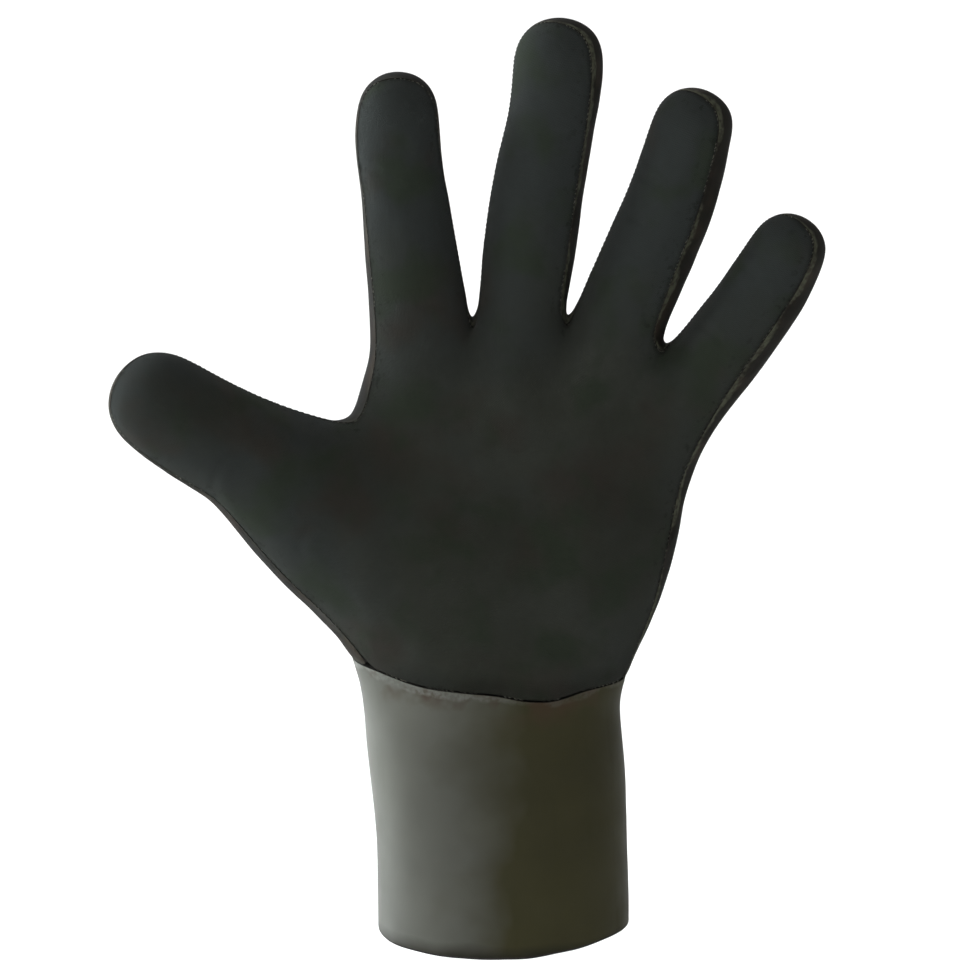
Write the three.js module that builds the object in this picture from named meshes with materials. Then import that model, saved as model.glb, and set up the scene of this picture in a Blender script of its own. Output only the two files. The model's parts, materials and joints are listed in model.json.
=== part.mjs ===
// A five-finger neoprene diving glove for the left hand, in the spread shape that a hand gives it.
// Millimetres. The fingers point up (+Z), the palm side faces -Y and the thumb points to -X.
// The origin is the middle of the cuff's mouth, which lies in the plane z = 0.
// The glove is three pieces of foam sheet glued edge to edge: a cloth-faced palm panel that covers the
// front of the hand and of all five digits, a smooth-skin back panel, and a smooth-skin cuff.
import * as THREE from "three";

// Sheets and seams.
const panelWall = 3;
const cuffWall = 3;
const seamGap = 0.3; // the glue line between two panels

// The mesh's own fineness.
const facetLength = 6;

// The cuff and the palm are one trunk, with level sections along a spine that stands on the origin.
const cuffLength = 75.5; // mouth to wrist seam, at the front
const palmLength = 84.5; // wrist seam to the top of the palm's spine
const trunkRound = 12; // the palm's rounding above the top of its spine
const trunkTail = 20; // the form runs on below the mouth, where the glove is cut off level
const trunkWidth = 72;
const trunkDepth = 48;
const trunkSquareness = 2.2; // 2 is an ellipse, more is squarer
const trunk = {
  // cuff, palm: the height, as shares of the cuff's and of the palm's length. aside, width: shares of the width,
  // aside to the right. ahead, depth: shares of the depth, ahead towards the palm side. left, right: the side
  // seams, in degrees round from the middle of the front.
  rows: [
    { cuff: 0, palm: 0, aside: 0.002, ahead: 0.0, width: 1.01, depth: 1.26, left: -60, right: 76 },
    { cuff: 0.318, palm: 0, aside: -0.002, ahead: 0.0, width: 1.0, depth: 1.18, left: -60, right: 76 },
    { cuff: 0.636, palm: 0, aside: -0.02, ahead: 0.0, width: 1.01, depth: 1.06, left: -60, right: 76 },
    { cuff: 0.848, palm: 0, aside: -0.052, ahead: 0.0, width: 1.025, depth: 0.98, left: -60, right: 76 },
    { cuff: 0.996, palm: 0, aside: -0.05, ahead: 0.0, width: 0.985, depth: 0.93, left: -60, right: 76 },
    { cuff: 1, palm: 0.195, aside: 0.02, ahead: 0.01, width: 1.055, depth: 0.84, left: -66, right: 70 },
    { cuff: 1, palm: 0.47, aside: 0.08, ahead: 0.0, width: 1.19, depth: 0.74, left: -74, right: 62 },
    { cuff: 1, palm: 0.735, aside: 0.1, ahead: -0.02, width: 1.27, depth: 0.68, left: -76, right: 60 },
    { cuff: 1, palm: 1, aside: 0.09, ahead: -0.03, width: 1.27, depth: 0.6, left: -76, right: 60 },
  ],
};

// The wrist seam rises towards the thumb. turn: degrees round from the middle of the front, positive to the
// right. rise: share of the cuff's length.
const wristSeam = [
  { turn: -180, rise: 1.01 },
  { turn: -110, rise: 1.075 },
  { turn: -80, rise: 1.08 },
  { turn: -58, rise: 1.07 },
  { turn: -43, rise: 1.045 },
  { turn: -31, rise: 1.025 },
  { turn: -16, rise: 1.013 },
  { turn: 0, rise: 1.0 },
  { turn: 12, rise: 0.973 },
  { turn: 26, rise: 0.965 },
  { turn: 43, rise: 0.998 },
  { turn: 62, rise: 1.003 },
  { turn: 110, rise: 1.0 },
  { turn: 180, rise: 1.01 },
];

// Each digit has a straight line from its root inside the palm to its tip, and sections along its spine, which
// ends one tip rounding short of the tip. rootAside: share of the trunk's width, to the right of the origin.
// rootRise: share of the palm's length, above the wrist seam. lean: degrees from upright, positive to the right.
// at: share of the spine. aside, width: shares of the width, aside to the right of the line. ahead: share of
// the length, towards the palm side. depth: share of the depth. left, right: the side seams, in degrees round
// from the middle of the front.
const thumb = {
  rootAside: -0.194, rootRise: 0.278, lean: -58.7, length: 114, width: 32, depth: 27.5, tipRound: 14.5,
  rows: [
    { at: 0.0, aside: 0.05, ahead: 0.02, width: 1.5, depth: 1.32, left: -62, right: 98 },
    { at: 0.2, aside: 0.0, ahead: 0.035, width: 1.62, depth: 1.4, left: -62, right: 98 },
    { at: 0.4, aside: 0.02, ahead: 0.05, width: 1.42, depth: 1.32, left: -54, right: 98 },
    { at: 0.52, aside: 0.095, ahead: 0.06, width: 1.28, depth: 1.2, left: -54, right: 98 },
    { at: 0.63, aside: 0.175, ahead: 0.065, width: 1.19, depth: 1.1, left: -56, right: 98 },
    { at: 0.74, aside: 0.19, ahead: 0.07, width: 0.99, depth: 1.02, left: -58, right: 98 },
    { at: 0.87, aside: 0.175, ahead: 0.08, width: 0.975, depth: 1.0, left: -62, right: 98 },
    { at: 1.0, aside: 0.205, ahead: 0.095, width: 0.92, depth: 0.96, left: -62, right: 98 },
  ],
};
const index = {
  rootAside: -0.278, rootRise: 0.882, lean: -5, length: 99, width: 26, depth: 25, tipRound: 12,
  rows: [
    { at: 0.0, aside: -0.06, ahead: -0.03, width: 1.3, depth: 1.16, left: -60, right: 76 },
    { at: 0.2, aside: -0.04, ahead: -0.01, width: 1.14, depth: 1.1, left: -58, right: 78 },
    { at: 0.34, aside: -0.045, ahead: 0.0, width: 1.1, depth: 1.06, left: -56, right: 80 },
    { at: 0.53, aside: -0.065, ahead: 0.02, width: 1.04, depth: 1.02, left: -56, right: 80 },
    { at: 0.73, aside: -0.075, ahead: 0.035, width: 0.965, depth: 0.98, left: -60, right: 76 },
    { at: 0.8, aside: -0.08, ahead: 0.045, width: 0.93, depth: 0.95, left: -64, right: 72 },
    { at: 0.88, aside: -0.1, ahead: 0.055, width: 0.96, depth: 0.96, left: -66, right: 70 },
    { at: 1.0, aside: -0.055, ahead: 0.07, width: 0.9, depth: 0.93, left: -68, right: 68 },
  ],
};
const middle = {
  rootAside: 0.035, rootRise: 0.882, lean: 6.3, length: 114, width: 26, depth: 25.5, tipRound: 12.4,
  rows: [
    { at: 0.0, aside: -0.02, ahead: -0.03, width: 1.06, depth: 1.14, left: -76, right: 60 },
    { at: 0.2, aside: -0.03, ahead: -0.01, width: 0.96, depth: 1.07, left: -80, right: 56 },
    { at: 0.33, aside: -0.03, ahead: 0.0, width: 0.95, depth: 1.03, left: -84, right: 52 },
    { at: 0.45, aside: -0.018, ahead: 0.01, width: 1.02, depth: 1.02, left: -86, right: 50 },
    { at: 0.6, aside: -0.01, ahead: 0.025, width: 1.015, depth: 1.0, left: -86, right: 50 },
    { at: 0.73, aside: 0.018, ahead: 0.035, width: 0.995, depth: 0.97, left: -86, right: 50 },
    { at: 0.82, aside: 0.06, ahead: 0.045, width: 0.945, depth: 0.96, left: -88, right: 48 },
    { at: 0.93, aside: 0.075, ahead: 0.055, width: 0.98, depth: 0.97, left: -92, right: 44 },
    { at: 1.0, aside: 0.055, ahead: 0.06, width: 0.975, depth: 0.94, left: -92, right: 44 },
  ],
};
const ring = {
  rootAside: 0.306, rootRise: 0.882, lean: 18.4, length: 99.5, width: 25.5, depth: 25, tipRound: 12,
  rows: [
    { at: 0.0, aside: 0.0, ahead: -0.03, width: 1.08, depth: 1.12, left: -78, right: 58 },
    { at: 0.2, aside: 0.03, ahead: -0.01, width: 1.04, depth: 1.06, left: -88, right: 48 },
    { at: 0.35, aside: 0.05, ahead: 0.0, width: 1.02, depth: 1.02, left: -94, right: 42 },
    { at: 0.48, aside: 0.078, ahead: 0.015, width: 1.01, depth: 1.0, left: -97, right: 39 },
    { at: 0.6, aside: 0.1, ahead: 0.03, width: 1.0, depth: 0.98, left: -100, right: 36 },
    { at: 0.73, aside: 0.135, ahead: 0.045, width: 0.99, depth: 0.97, left: -101, right: 35 },
    { at: 0.86, aside: 0.125, ahead: 0.06, width: 0.96, depth: 0.95, left: -102, right: 34 },
    { at: 1.0, aside: 0.08, ahead: 0.08, width: 0.9, depth: 0.92, left: -100, right: 36 },
  ],
};
const little = {
  rootAside: 0.556, rootRise: 0.775, lean: 31.5, length: 80, width: 24.5, depth: 23.5, tipRound: 11,
  rows: [
    { at: 0.0, aside: -0.01, ahead: -0.03, width: 1.06, depth: 1.12, left: -76, right: 60 },
    { at: 0.2, aside: 0.05, ahead: -0.01, width: 1.03, depth: 1.08, left: -92, right: 44 },
    { at: 0.4, aside: 0.1, ahead: 0.01, width: 0.995, depth: 1.02, left: -102, right: 34 },
    { at: 0.55, aside: 0.127, ahead: 0.035, width: 1.02, depth: 1.0, left: -106, right: 30 },
    { at: 0.7, aside: 0.152, ahead: 0.06, width: 0.99, depth: 0.98, left: -108, right: 28 },
    { at: 0.86, aside: 0.145, ahead: 0.08, width: 0.965, depth: 0.95, left: -106, right: 30 },
    { at: 1.0, aside: 0.105, ahead: 0.1, width: 0.88, depth: 0.92, left: -102, right: 34 },
  ],
};
// The muscle pad below the little finger, which only swells the palm.
const heelPad = {
  rootAside: 0.139, rootRise: 0.172, lean: 24, length: 48, width: 38, depth: 30, tipRound: 14,
  rows: [
    { at: 0.0, aside: 0.0, ahead: 0.07, width: 1.0, depth: 1.0, left: -68, right: 68 },
    { at: 0.5, aside: 0.05, ahead: 0.1, width: 1.06, depth: 1.06, left: -68, right: 68 },
    { at: 1.0, aside: 0.0, ahead: 0.07, width: 0.9, depth: 0.9, left: -68, right: 68 },
  ],
};

// How softly the forms flow into each other, as the width of the blend.
const padBlend = 12;
const fingerBlend = 7;
const crotchBlend = 3;
const thumbBlend = 20;

// The cage: columns across the front, and rows.
const fingerColumns = 4;
const thumbColumns = 6;
const sidePoints = 3;
const thumbSplit = 0.47; // share of the thumb's spine where its rings begin
const splitRise = 0.5; // share of the palm's length where the rings of thumb and palm part, on the right
const crotchDrop = 8; // from a crotch down to the palm's last ring
const crotchClear = 5; // from a crotch up to a finger's first full ring
const valleyShare = 0.6; // share of two digits' spines where their directions are read
const bridgeDepths = [0.2, 0.5, 0.8]; // shares of the way from front to back
const settleRounds = 60;

const lerp = THREE.MathUtils.lerp;
const radians = THREE.MathUtils.degToRad;

// A table's row at any share between its rows.
function rowAt(rows, share, key = "at") {
  const clamped = THREE.MathUtils.clamp(share, rows[0][key], rows[rows.length - 1][key]);
  const next = Math.max(1, rows.findIndex((row) => row[key] >= clamped));
  const before = rows[next - 1];
  const after = rows[next];
  const t = (clamped - before[key]) / (after[key] - before[key]);
  const found = {};
  for (const name of Object.keys(before)) found[name] = lerp(before[name], after[name], t);
  return found;
}

const palmTop = cuffLength + palmLength;
const digitRoot = (digit) =>
  new THREE.Vector3(digit.rootAside * trunkWidth, 0, cuffLength + digit.rootRise * palmLength);

// A limb's spine as samples, each with its centre, half sizes and seam turn. A limb is a digit, pad or trunk.
function limbOf(digit, root = digitRoot(digit), samples = 24) {
  const lean = radians(digit.lean);
  const along = new THREE.Vector3(Math.sin(lean), 0, Math.cos(lean));
  const right = new THREE.Vector3(Math.cos(lean), 0, -Math.sin(lean));
  const spineLength = digit.length - digit.tipRound;
  const points = [];
  for (let k = 0; k <= samples; k++) {
    const share = k / samples;
    const row = smoothRow(digit.rows, share);
    points.push({
      share,
      centre: root
        .clone()
        .addScaledVector(along, share * spineLength)
        .addScaledVector(right, row.aside * digit.width)
        .add(new THREE.Vector3(0, -row.ahead * (digit.aheadOf ?? digit.length), 0)),
      halfWidth: (row.width * digit.width) / 2,
      halfDepth: (row.depth * digit.depth) / 2,
      left: row.left,
      right: row.right,
    });
  }
  return {
    points, spineLength,
    round: digit.tipRound,
    rootRound: digit.rootRound ?? digit.tipRound,
    squareness: digit.squareness ?? 2,
  };
}

// The table's rows, rounded off where they meet so that no section shows as an edge.
function smoothRow(rows, share) {
  const reach = 0.05;
  const found = {};
  const near = [-1, -0.5, 0, 0.5, 1].map((k) => rowAt(rows, share + k * reach));
  const weights = share <= reach || share >= 1 - reach ? [0, 0, 1, 0, 0] : [1, 2, 2, 2, 1];
  const total = weights.reduce((sum, weight) => sum + weight, 0);
  for (const name of Object.keys(near[0]))
    found[name] = near.reduce((sum, row, k) => sum + row[name] * weights[k], 0) / total;
  return found;
}

const limbs = {
  thumb: limbOf(thumb),
  index: limbOf(index),
  middle: limbOf(middle),
  ring: limbOf(ring),
  little: limbOf(little),
  heelPad: limbOf(heelPad),
  trunk: limbOf({
    lean: 0, length: palmTop + trunkRound, width: trunkWidth, depth: trunkDepth, tipRound: trunkRound,
    rootRound: 0, squareness: trunkSquareness, aheadOf: trunkDepth,
    rows: trunk.rows.map((row) => ({ ...row, at: (row.cuff * cuffLength + row.palm * palmLength) / palmTop })),
  }, new THREE.Vector3()),
};

// The trunk's form runs straight on below the mouth.
limbs.trunk.points.unshift({
  ...limbs.trunk.points[0],
  share: -trunkTail / palmTop,
  centre: limbs.trunk.points[0].centre.clone().add(new THREE.Vector3(0, 0, -trunkTail)),
});

// The place on a limb's spine at a share of it, with the directions along it, to its right and to its back.
function placeOn(limb, share) {
  const { points } = limb;
  const next = Math.max(1, points.findIndex((p) => p.share >= share - 1e-9));
  const k = points[next] && share <= points[points.length - 1].share ? next : points.length - 1;
  const a = points[k - 1];
  const b = points[k];
  const t = (share - a.share) / (b.share - a.share);
  const along = b.centre.clone().sub(a.centre).normalize();
  const right = new THREE.Vector3(0, 1, 0).cross(along).normalize();
  return {
    centre: a.centre.clone().lerp(b.centre, t),
    halfWidth: lerp(a.halfWidth, b.halfWidth, t),
    halfDepth: lerp(a.halfDepth, b.halfDepth, t),
    seams: [lerp(a.left, b.left, t), lerp(a.right, b.right, t)],
    along, right,
    back: along.clone().cross(right).normalize(),
  };
}

// About how far a point is outside one limb; negative inside.
function outsideLimb(limb, x, y, z) {
  const { points, round, rootRound, squareness: n } = limb;
  let nearest = Infinity;
  let segment = 1;
  let place = 0;
  for (let k = 1; k < points.length; k++) {
    const a = points[k - 1].centre;
    const b = points[k].centre;
    const dx = b.x - a.x, dy = b.y - a.y, dz = b.z - a.z;
    const raw = ((x - a.x) * dx + (y - a.y) * dy + (z - a.z) * dz) / (dx * dx + dy * dy + dz * dz);
    const t = Math.min(1, Math.max(0, raw));
    const distance = (x - a.x - t * dx) ** 2 + (y - a.y - t * dy) ** 2 + (z - a.z - t * dz) ** 2;
    if (distance < nearest) {
      nearest = distance;
      segment = k;
      place = t;
    }
  }
  const a = points[segment - 1];
  const b = points[segment];
  const dx = b.centre.x - a.centre.x, dy = b.centre.y - a.centre.y, dz = b.centre.z - a.centre.z;
  const size = Math.hypot(dx, dy, dz);
  const tx = dx / size, ty = dy / size, tz = dz / size;
  const px = x - a.centre.x - place * dx, py = y - a.centre.y - place * dy, pz = z - a.centre.z - place * dz;
  const axial = px * tx + py * ty + pz * tz;
  // right = +Y cross along, in the XZ plane
  const flat = Math.hypot(tx, tz);
  const u = (px * tz - pz * tx) / flat;
  const v = Math.sqrt(Math.max(0, px * px + py * py + pz * pz - axial * axial - u * u));
  const halfWidth = lerp(a.halfWidth, b.halfWidth, place);
  const halfDepth = lerp(a.halfDepth, b.halfDepth, place);
  const cap = place <= 0 && segment === 1 ? rootRound || 1 : round;
  const su = Math.abs(u) / halfWidth, sv = v / halfDepth, sa = axial / cap;
  const r = (su ** n + sv ** n) ** (1 / n) || 1e-9;
  const q = Math.hypot(r, sa) || 1e-9;
  const gu = (r ** (2 - n) * su ** (n - 1)) / halfWidth;
  const gv = (r ** (2 - n) * sv ** (n - 1)) / halfDepth;
  const slope = Math.hypot(gu, gv, sa / cap) / q;
  return (q - 1) / Math.max(slope, 1e-6);
}

// The smaller of two distances, rounded off where they are within the blend of each other.
function blended(a, b, blend) {
  const h = Math.max(blend - Math.abs(a - b), 0) / blend;
  return Math.min(a, b) - (h * h * blend) / 4;
}

// About how far a point is outside the glove; negative inside.
function outside(x, y, z) {
  let palm = blended(outsideLimb(limbs.trunk, x, y, z), outsideLimb(limbs.heelPad, x, y, z), padBlend);
  let fingers = Infinity;
  for (const name of ["index", "middle", "ring", "little"])
    fingers = blended(fingers, outsideLimb(limbs[name], x, y, z), crotchBlend);
  palm = blended(palm, fingers, fingerBlend);
  return blended(palm, outsideLimb(limbs.thumb, x, y, z), thumbBlend);
}

// The direction straight out of the glove at a point.
function outwards(p, step = 0.3) {
  return new THREE.Vector3(
    outside(p.x + step, p.y, p.z) - outside(p.x - step, p.y, p.z),
    outside(p.x, p.y + step, p.z) - outside(p.x, p.y - step, p.z),
    outside(p.x, p.y, p.z + step) - outside(p.x, p.y, p.z - step),
  ).divideScalar(2 * step);
}

// Moves a point onto the glove's outer face; a level one keeps its height.
function settle(p, level, rounds = 2) {
  for (let k = 0; k < rounds; k++) {
    const slope = outwards(p);
    if (level) slope.z = 0;
    p.addScaledVector(slope, -outside(p.x, p.y, p.z) / Math.max(slope.lengthSq(), 0.05));
  }
  return p;
}

// The cage is a net of quads over the glove. A point is free, pinned, level (pinned on a level cut) or on a
// seam that may slide along itself.
const cage = { points: [], kinds: [], faces: [] };

function addPoint(position, kind = "free") {
  cage.points.push(position);
  cage.kinds.push(kind);
  return cage.points.length - 1;
}

// A ring round a limb: its front and back run left to right, and its sides run front to back and start on the seam.
function mapRing(ring, use) {
  return {
    left: ring.left.map(use), front: ring.front.map(use), right: ring.right.map(use), back: ring.back.map(use),
  };
}

function ringLoop(ring) {
  const [firstRight, ...otherRight] = ring.right;
  const [firstLeft, ...otherLeft] = ring.left;
  return [
    firstLeft, ...ring.front, firstRight, ...otherRight, ...[...ring.back].reverse(), ...otherLeft.reverse(),
  ];
}

// The angles of a ring's points, in degrees from the front, positive to the right.
function ringTurns(frontPoints, [leftSeam, rightSeam]) {
  const frontStep = (rightSeam - leftSeam) / (frontPoints + 1);
  const backSteps = frontPoints + 2 * sidePoints - 1;
  const backStep = (360 + leftSeam - rightSeam) / backSteps;
  const range = (count) => [...Array(count).keys()];
  return {
    left: range(sidePoints).map((k) => leftSeam - k * backStep),
    front: range(frontPoints).map((k) => leftSeam + (k + 1) * frontStep),
    right: range(sidePoints).map((k) => rightSeam + k * backStep),
    back: range(frontPoints).map((k) => 360 + leftSeam - (sidePoints + k) * backStep),
  };
}

// The point of a limb's section at a turn.
function sectionPoint(limb, place, turn) {
  const s = Math.sin(radians(turn));
  const c = Math.cos(radians(turn));
  const power = 2 / limb.squareness;
  return place.centre
    .clone()
    .addScaledVector(place.right, place.halfWidth * Math.sign(s) * Math.abs(s) ** power)
    .addScaledVector(place.back, -place.halfDepth * Math.sign(c) * Math.abs(c) ** power);
}

function limbRing(limb, share, frontPoints) {
  const place = placeOn(limb, share);
  return mapRing(ringTurns(frontPoints, place.seams), (turn) => sectionPoint(limb, place, turn));
}

// A ring of the trunk whose height differs round it.
function trunkRing(frontPoints, heightAt) {
  const turns = ringTurns(frontPoints, placeOn(limbs.trunk, heightAt(0) / palmTop).seams);
  return mapRing(turns, (turn) => {
    const wrapped = turn > 180 ? turn - 360 : turn < -180 ? turn + 360 : turn;
    const height = heightAt(wrapped);
    const place = placeOn(limbs.trunk, height / palmTop);
    place.right = new THREE.Vector3(1, 0, 0);
    place.back = new THREE.Vector3(0, 1, 0);
    return sectionPoint(limbs.trunk, place, turn).setZ(height);
  });
}

function pairRings(a, b, use) {
  const both = (name) => a[name].map((point, k) => use(point, b[name][k], name, k));
  return { left: both("left"), front: both("front"), right: both("right"), back: both("back") };
}

// Adds a ring of positions to the cage, its two seam points as seamKind and the rest as kind.
function placeRing(ring, kind = "free", seamKind = "seam") {
  const placed = {};
  for (const name of ["left", "front", "right", "back"])
    placed[name] = ring[name].map((position, k) => {
      const onSeam = k === 0 && (name === "left" || name === "right");
      return addPoint(settle(position, kind === "level", 4), onSeam ? seamKind : kind);
    });
  return placed;
}

// Quads between two rings. The stretch from seam to seam across the front is the palm panel's.
function joinRings(low, high, palmPiece = "palm_panel", backPiece = "back_panel") {
  const a = ringLoop(low);
  const b = ringLoop(high);
  for (let k = 0; k < a.length; k++) {
    const n = (k + 1) % a.length;
    cage.faces.push({ corners: [a[k], a[n], b[n], b[k]], piece: k <= low.front.length ? palmPiece : backPiece });
  }
}

// Rings between two placed rings, evenly spaced and joined.
function fillRings(low, high, count) {
  let before = low;
  for (let k = 1; k < count; k++) {
    const between = pairRings(low, high, (a, b) => cage.points[a].clone().lerp(cage.points[b], k / count));
    const placed = placeRing(between);
    joinRings(before, placed);
    before = placed;
  }
  joinRings(before, high);
}

// The part of a ring between two columns, closed by bridges where it isn't closed by the ring's own sides.
function branchOf(ring, from, to, leftBridge, rightBridge) {
  return {
    left: leftBridge ?? ring.left,
    front: ring.front.slice(from, to + 1),
    right: rightBridge ?? ring.right,
    back: ring.back.slice(from, to + 1),
  };
}

// The lowest point that is still outside the glove in the valley between two digits, at a depth y. The search
// goes down the valley from well above the foot. beside: all that the valley's right side is made of.
function valleyPoint(left, right, beside, foot, y) {
  const up = placeOn(left, valleyShare).along.add(placeOn(right, valleyShare).along).setY(0).normalize();
  const across = new THREE.Vector3(up.z, 0, -up.x);
  const point = foot.clone().setY(y).addScaledVector(up, 2 * facetLength);
  for (let step = 0; step < 200; step++) {
    for (let k = 0; k < 4; k++) {
      const toLeft = outsideLimb(left, point.x, point.y, point.z);
      const toRight = Math.min(...beside.map((limb) => outsideLimb(limb, point.x, point.y, point.z)));
      point.addScaledVector(across, (toRight - toLeft) / 2);
    }
    if (outside(point.x, point.y, point.z) < 0.05) break;
    point.addScaledVector(up, -0.25);
  }
  return point;
}

// The points that bridge a crotch from front to back over its saddle, the first of them on the seam.
function placeBridge(left, right, beside, foot, front, back) {
  const start = cage.points[front].y;
  const end = cage.points[back].y;
  return bridgeDepths.map((t) =>
    addPoint(settle(valleyPoint(left, right, beside, foot, lerp(start, end, t))), "pinned"),
  );
}

// The highest point at which two neighbouring digits still touch.
function crotchOf(left, right, from) {
  for (let share = from; share < 1; share += 0.005) {
    const a = placeOn(left, share);
    const edge = a.centre.clone().addScaledVector(a.right, a.halfWidth);
    if (outsideLimb(right, edge.x, edge.y, edge.z) > crotchBlend / 2) return edge;
  }
  throw new Error("two digits never part");
}

// The share of a digit's spine whose right or left edge is the given height above a crotch.
function shareAbove(limb, crotch, clear) {
  let best = 0;
  let nearest = Infinity;
  for (let share = 0; share < 1; share += 0.01) {
    const distance = placeOn(limb, share).centre.distanceTo(crotch);
    if (distance < nearest) {
      nearest = distance;
      best = share;
    }
  }
  return best + clear / limb.spineLength;
}

// A digit's rings from its base ring to its tip, and the patch that closes the tip.
function buildDigit(limb, base, firstShare) {
  const frontPoints = base.front.length;
  const first = placeRing(limbRing(limb, firstShare, frontPoints), "free", "pinned");
  fillRings(base, first, 2);
  const rows = Math.max(2, Math.round(((1 - firstShare) * limb.spineLength) / facetLength));
  let before = first;
  for (let k = 1; k <= rows; k++) {
    const placed = placeRing(limbRing(limb, lerp(firstShare, 1, k / rows), frontPoints), "free", "pinned");
    joinRings(before, placed);
    before = placed;
  }
  const end = placeOn(limb, 1);
  const capPoint = (u, v) => {
    const radius = Math.min(1, Math.hypot(u, v));
    return end.centre
      .clone()
      .addScaledVector(end.right, u * end.halfWidth)
      .addScaledVector(end.back, v * end.halfDepth)
      .addScaledVector(end.along, limb.round * Math.sqrt(1 - radius * radius));
  };
  const turns = ringTurns(frontPoints, end.seams);
  const discRing = (radius) =>
    mapRing(turns, (turn) => [radius * Math.sin(radians(turn)), -radius * Math.cos(radians(turn))]);
  for (const latitude of [22, 44]) {
    const disc = discRing(Math.cos(radians(latitude)));
    const placed = placeRing(mapRing(disc, ([u, v]) => capPoint(u, v)), "free", "pinned");
    joinRings(before, placed);
    before = placed;
  }
  closeCap(before, discRing(Math.cos(radians(44))), capPoint);
}

// Fills a ring with a patch of quads, whose second row from the front runs from seam to seam.
function closeCap(ring, disc, capPoint) {
  const columns = ring.front.length;
  const rows = sidePoints + 2;
  const edge = (source, i, j) => {
    if (i === 0) return source.front[j];
    if (i === rows - 1) return source.back[j];
    if (j === 0) return source.left[i - 1];
    return source.right[i - 1];
  };
  const isEdge = (i, j) => i === 0 || j === 0 || i === rows - 1 || j === columns - 1;
  const patch = [];
  for (let i = 0; i < rows; i++) {
    patch.push([]);
    for (let j = 0; j < columns; j++) {
      if (isEdge(i, j)) {
        patch[i].push(edge(ring, i, j));
        continue;
      }
      const s = j / (columns - 1);
      const t = i / (rows - 1);
      const blendOf = (axis) => {
        const at = (row, column) => edge(disc, row, column)[axis];
        const sides = lerp(at(i, 0), at(i, columns - 1), s) + lerp(at(0, j), at(rows - 1, j), t);
        const corners = lerp(
          lerp(at(0, 0), at(0, columns - 1), s), lerp(at(rows - 1, 0), at(rows - 1, columns - 1), s), t,
        );
        return sides - corners;
      };
      patch[i].push(addPoint(settle(capPoint(blendOf(0), blendOf(1)), false, 3), i === 1 ? "seam" : "free"));
    }
  }
  for (let i = 0; i + 1 < rows; i++)
    for (let j = 0; j + 1 < columns; j++)
      cage.faces.push({
        corners: [patch[i][j], patch[i][j + 1], patch[i + 1][j + 1], patch[i + 1][j]],
        piece: i === 0 ? "palm_panel" : "back_panel",
      });
}

// The cuff, from the mouth up to the wrist seam.
const palmColumns = 4 * fingerColumns;
const allColumns = thumbColumns + palmColumns;
const seamHeight = (turn) => rowAt(wristSeam, turn, "turn").rise * cuffLength;
const cuffRows = Math.max(2, Math.round(cuffLength / (1.25 * facetLength)));
let below = placeRing(trunkRing(allColumns + 1, () => 0), "level", "level");
for (let k = 1; k <= cuffRows; k++) {
  const last = k === cuffRows;
  const heights = (turn) => (seamHeight(turn) * k) / cuffRows;
  const kind = last ? "level" : "free";
  const placed = placeRing(trunkRing(allColumns + 1, heights), kind, kind);
  joinRings(below, placed, "cuff", "cuff");
  below = placed;
}
const wristRing = below;

// The ring where the thumb and the rest of the hand part: its left stretch is a ring of the thumb.
const splitHeight = (turn) =>
  lerp(cuffLength + palmLength * splitRise, cuffLength + palmLength * (splitRise + 0.18), 0.5 - turn / 180);
const thumbRing = limbRing(limbs.thumb, thumbSplit, thumbColumns + 1);
const palmRing = trunkRing(palmColumns + 1, (turn) => splitHeight(Math.abs(turn) > 90 ? Math.sign(turn) * 180 - turn : turn));
const shareColumn = (name) => [
  ...thumbRing[name].slice(0, -1),
  thumbRing[name].at(-1).clone().lerp(palmRing[name][0], 0.6),
  ...palmRing[name].slice(1),
];
const splitRing = placeRing({
  left: thumbRing.left, front: shareColumn("front"), right: palmRing.right, back: shareColumn("back"),
});
const fanRows = Math.max(2, Math.round((palmLength * splitRise) / (1.3 * facetLength)));
fillRings(wristRing, splitRing, fanRows);

// The web between thumb and forefinger.
const thumbPlace = placeOn(limbs.thumb, thumbSplit + 0.04);
const webFoot = thumbPlace.centre.clone().addScaledVector(thumbPlace.right, thumbPlace.halfWidth);
const webSides = [limbs.index, limbs.trunk];
const webColumn = [splitRing.front[thumbColumns], splitRing.back[thumbColumns]];
const webBridge = placeBridge(limbs.thumb, limbs.index, webSides, webFoot, ...webColumn);
buildDigit(limbs.thumb, branchOf(splitRing, 0, thumbColumns, null, webBridge), thumbSplit + 0.16);
const palmBase = branchOf(splitRing, thumbColumns, allColumns, webBridge, null);

// The palm's last ring, which dips under each crotch.
const crotches = [
  crotchOf(limbs.index, limbs.middle, 0.1),
  crotchOf(limbs.middle, limbs.ring, 0.1),
  crotchOf(limbs.ring, limbs.little, 0.1),
];
const littleRoot = placeOn(limbs.little, 0.1);
const indexRoot = placeOn(limbs.index, 0.2);
const knuckleStops = [
  indexRoot.centre.clone().addScaledVector(indexRoot.right, -0.86 * indexRoot.halfWidth),
  ...crotches.map((crotch) => crotch.clone().add(new THREE.Vector3(0, 0, -crotchDrop))),
  littleRoot.centre.clone().addScaledVector(littleRoot.right, 0.8 * littleRoot.halfWidth),
];
function knucklePoint(column, side) {
  const stop = Math.min(3, Math.floor(column / fingerColumns));
  const point = knuckleStops[stop].clone().lerp(knuckleStops[stop + 1], column / fingerColumns - stop);
  while (outside(point.x, point.y, point.z) < 0 && Math.abs(point.y) < trunkDepth) point.y += 0.5 * side;
  return point;
}
const columnsOf = [...Array(palmColumns + 1).keys()];
const leftEdge = limbRing(limbs.index, 0.16, palmColumns + 1);
const rightEdge = limbRing(limbs.little, 0.06, palmColumns + 1);
const knuckleRing = placeRing({
  left: leftEdge.left,
  front: columnsOf.map((column) => knucklePoint(column, -1)),
  right: rightEdge.right,
  back: columnsOf.map((column) => knucklePoint(column, 1)),
});
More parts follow.
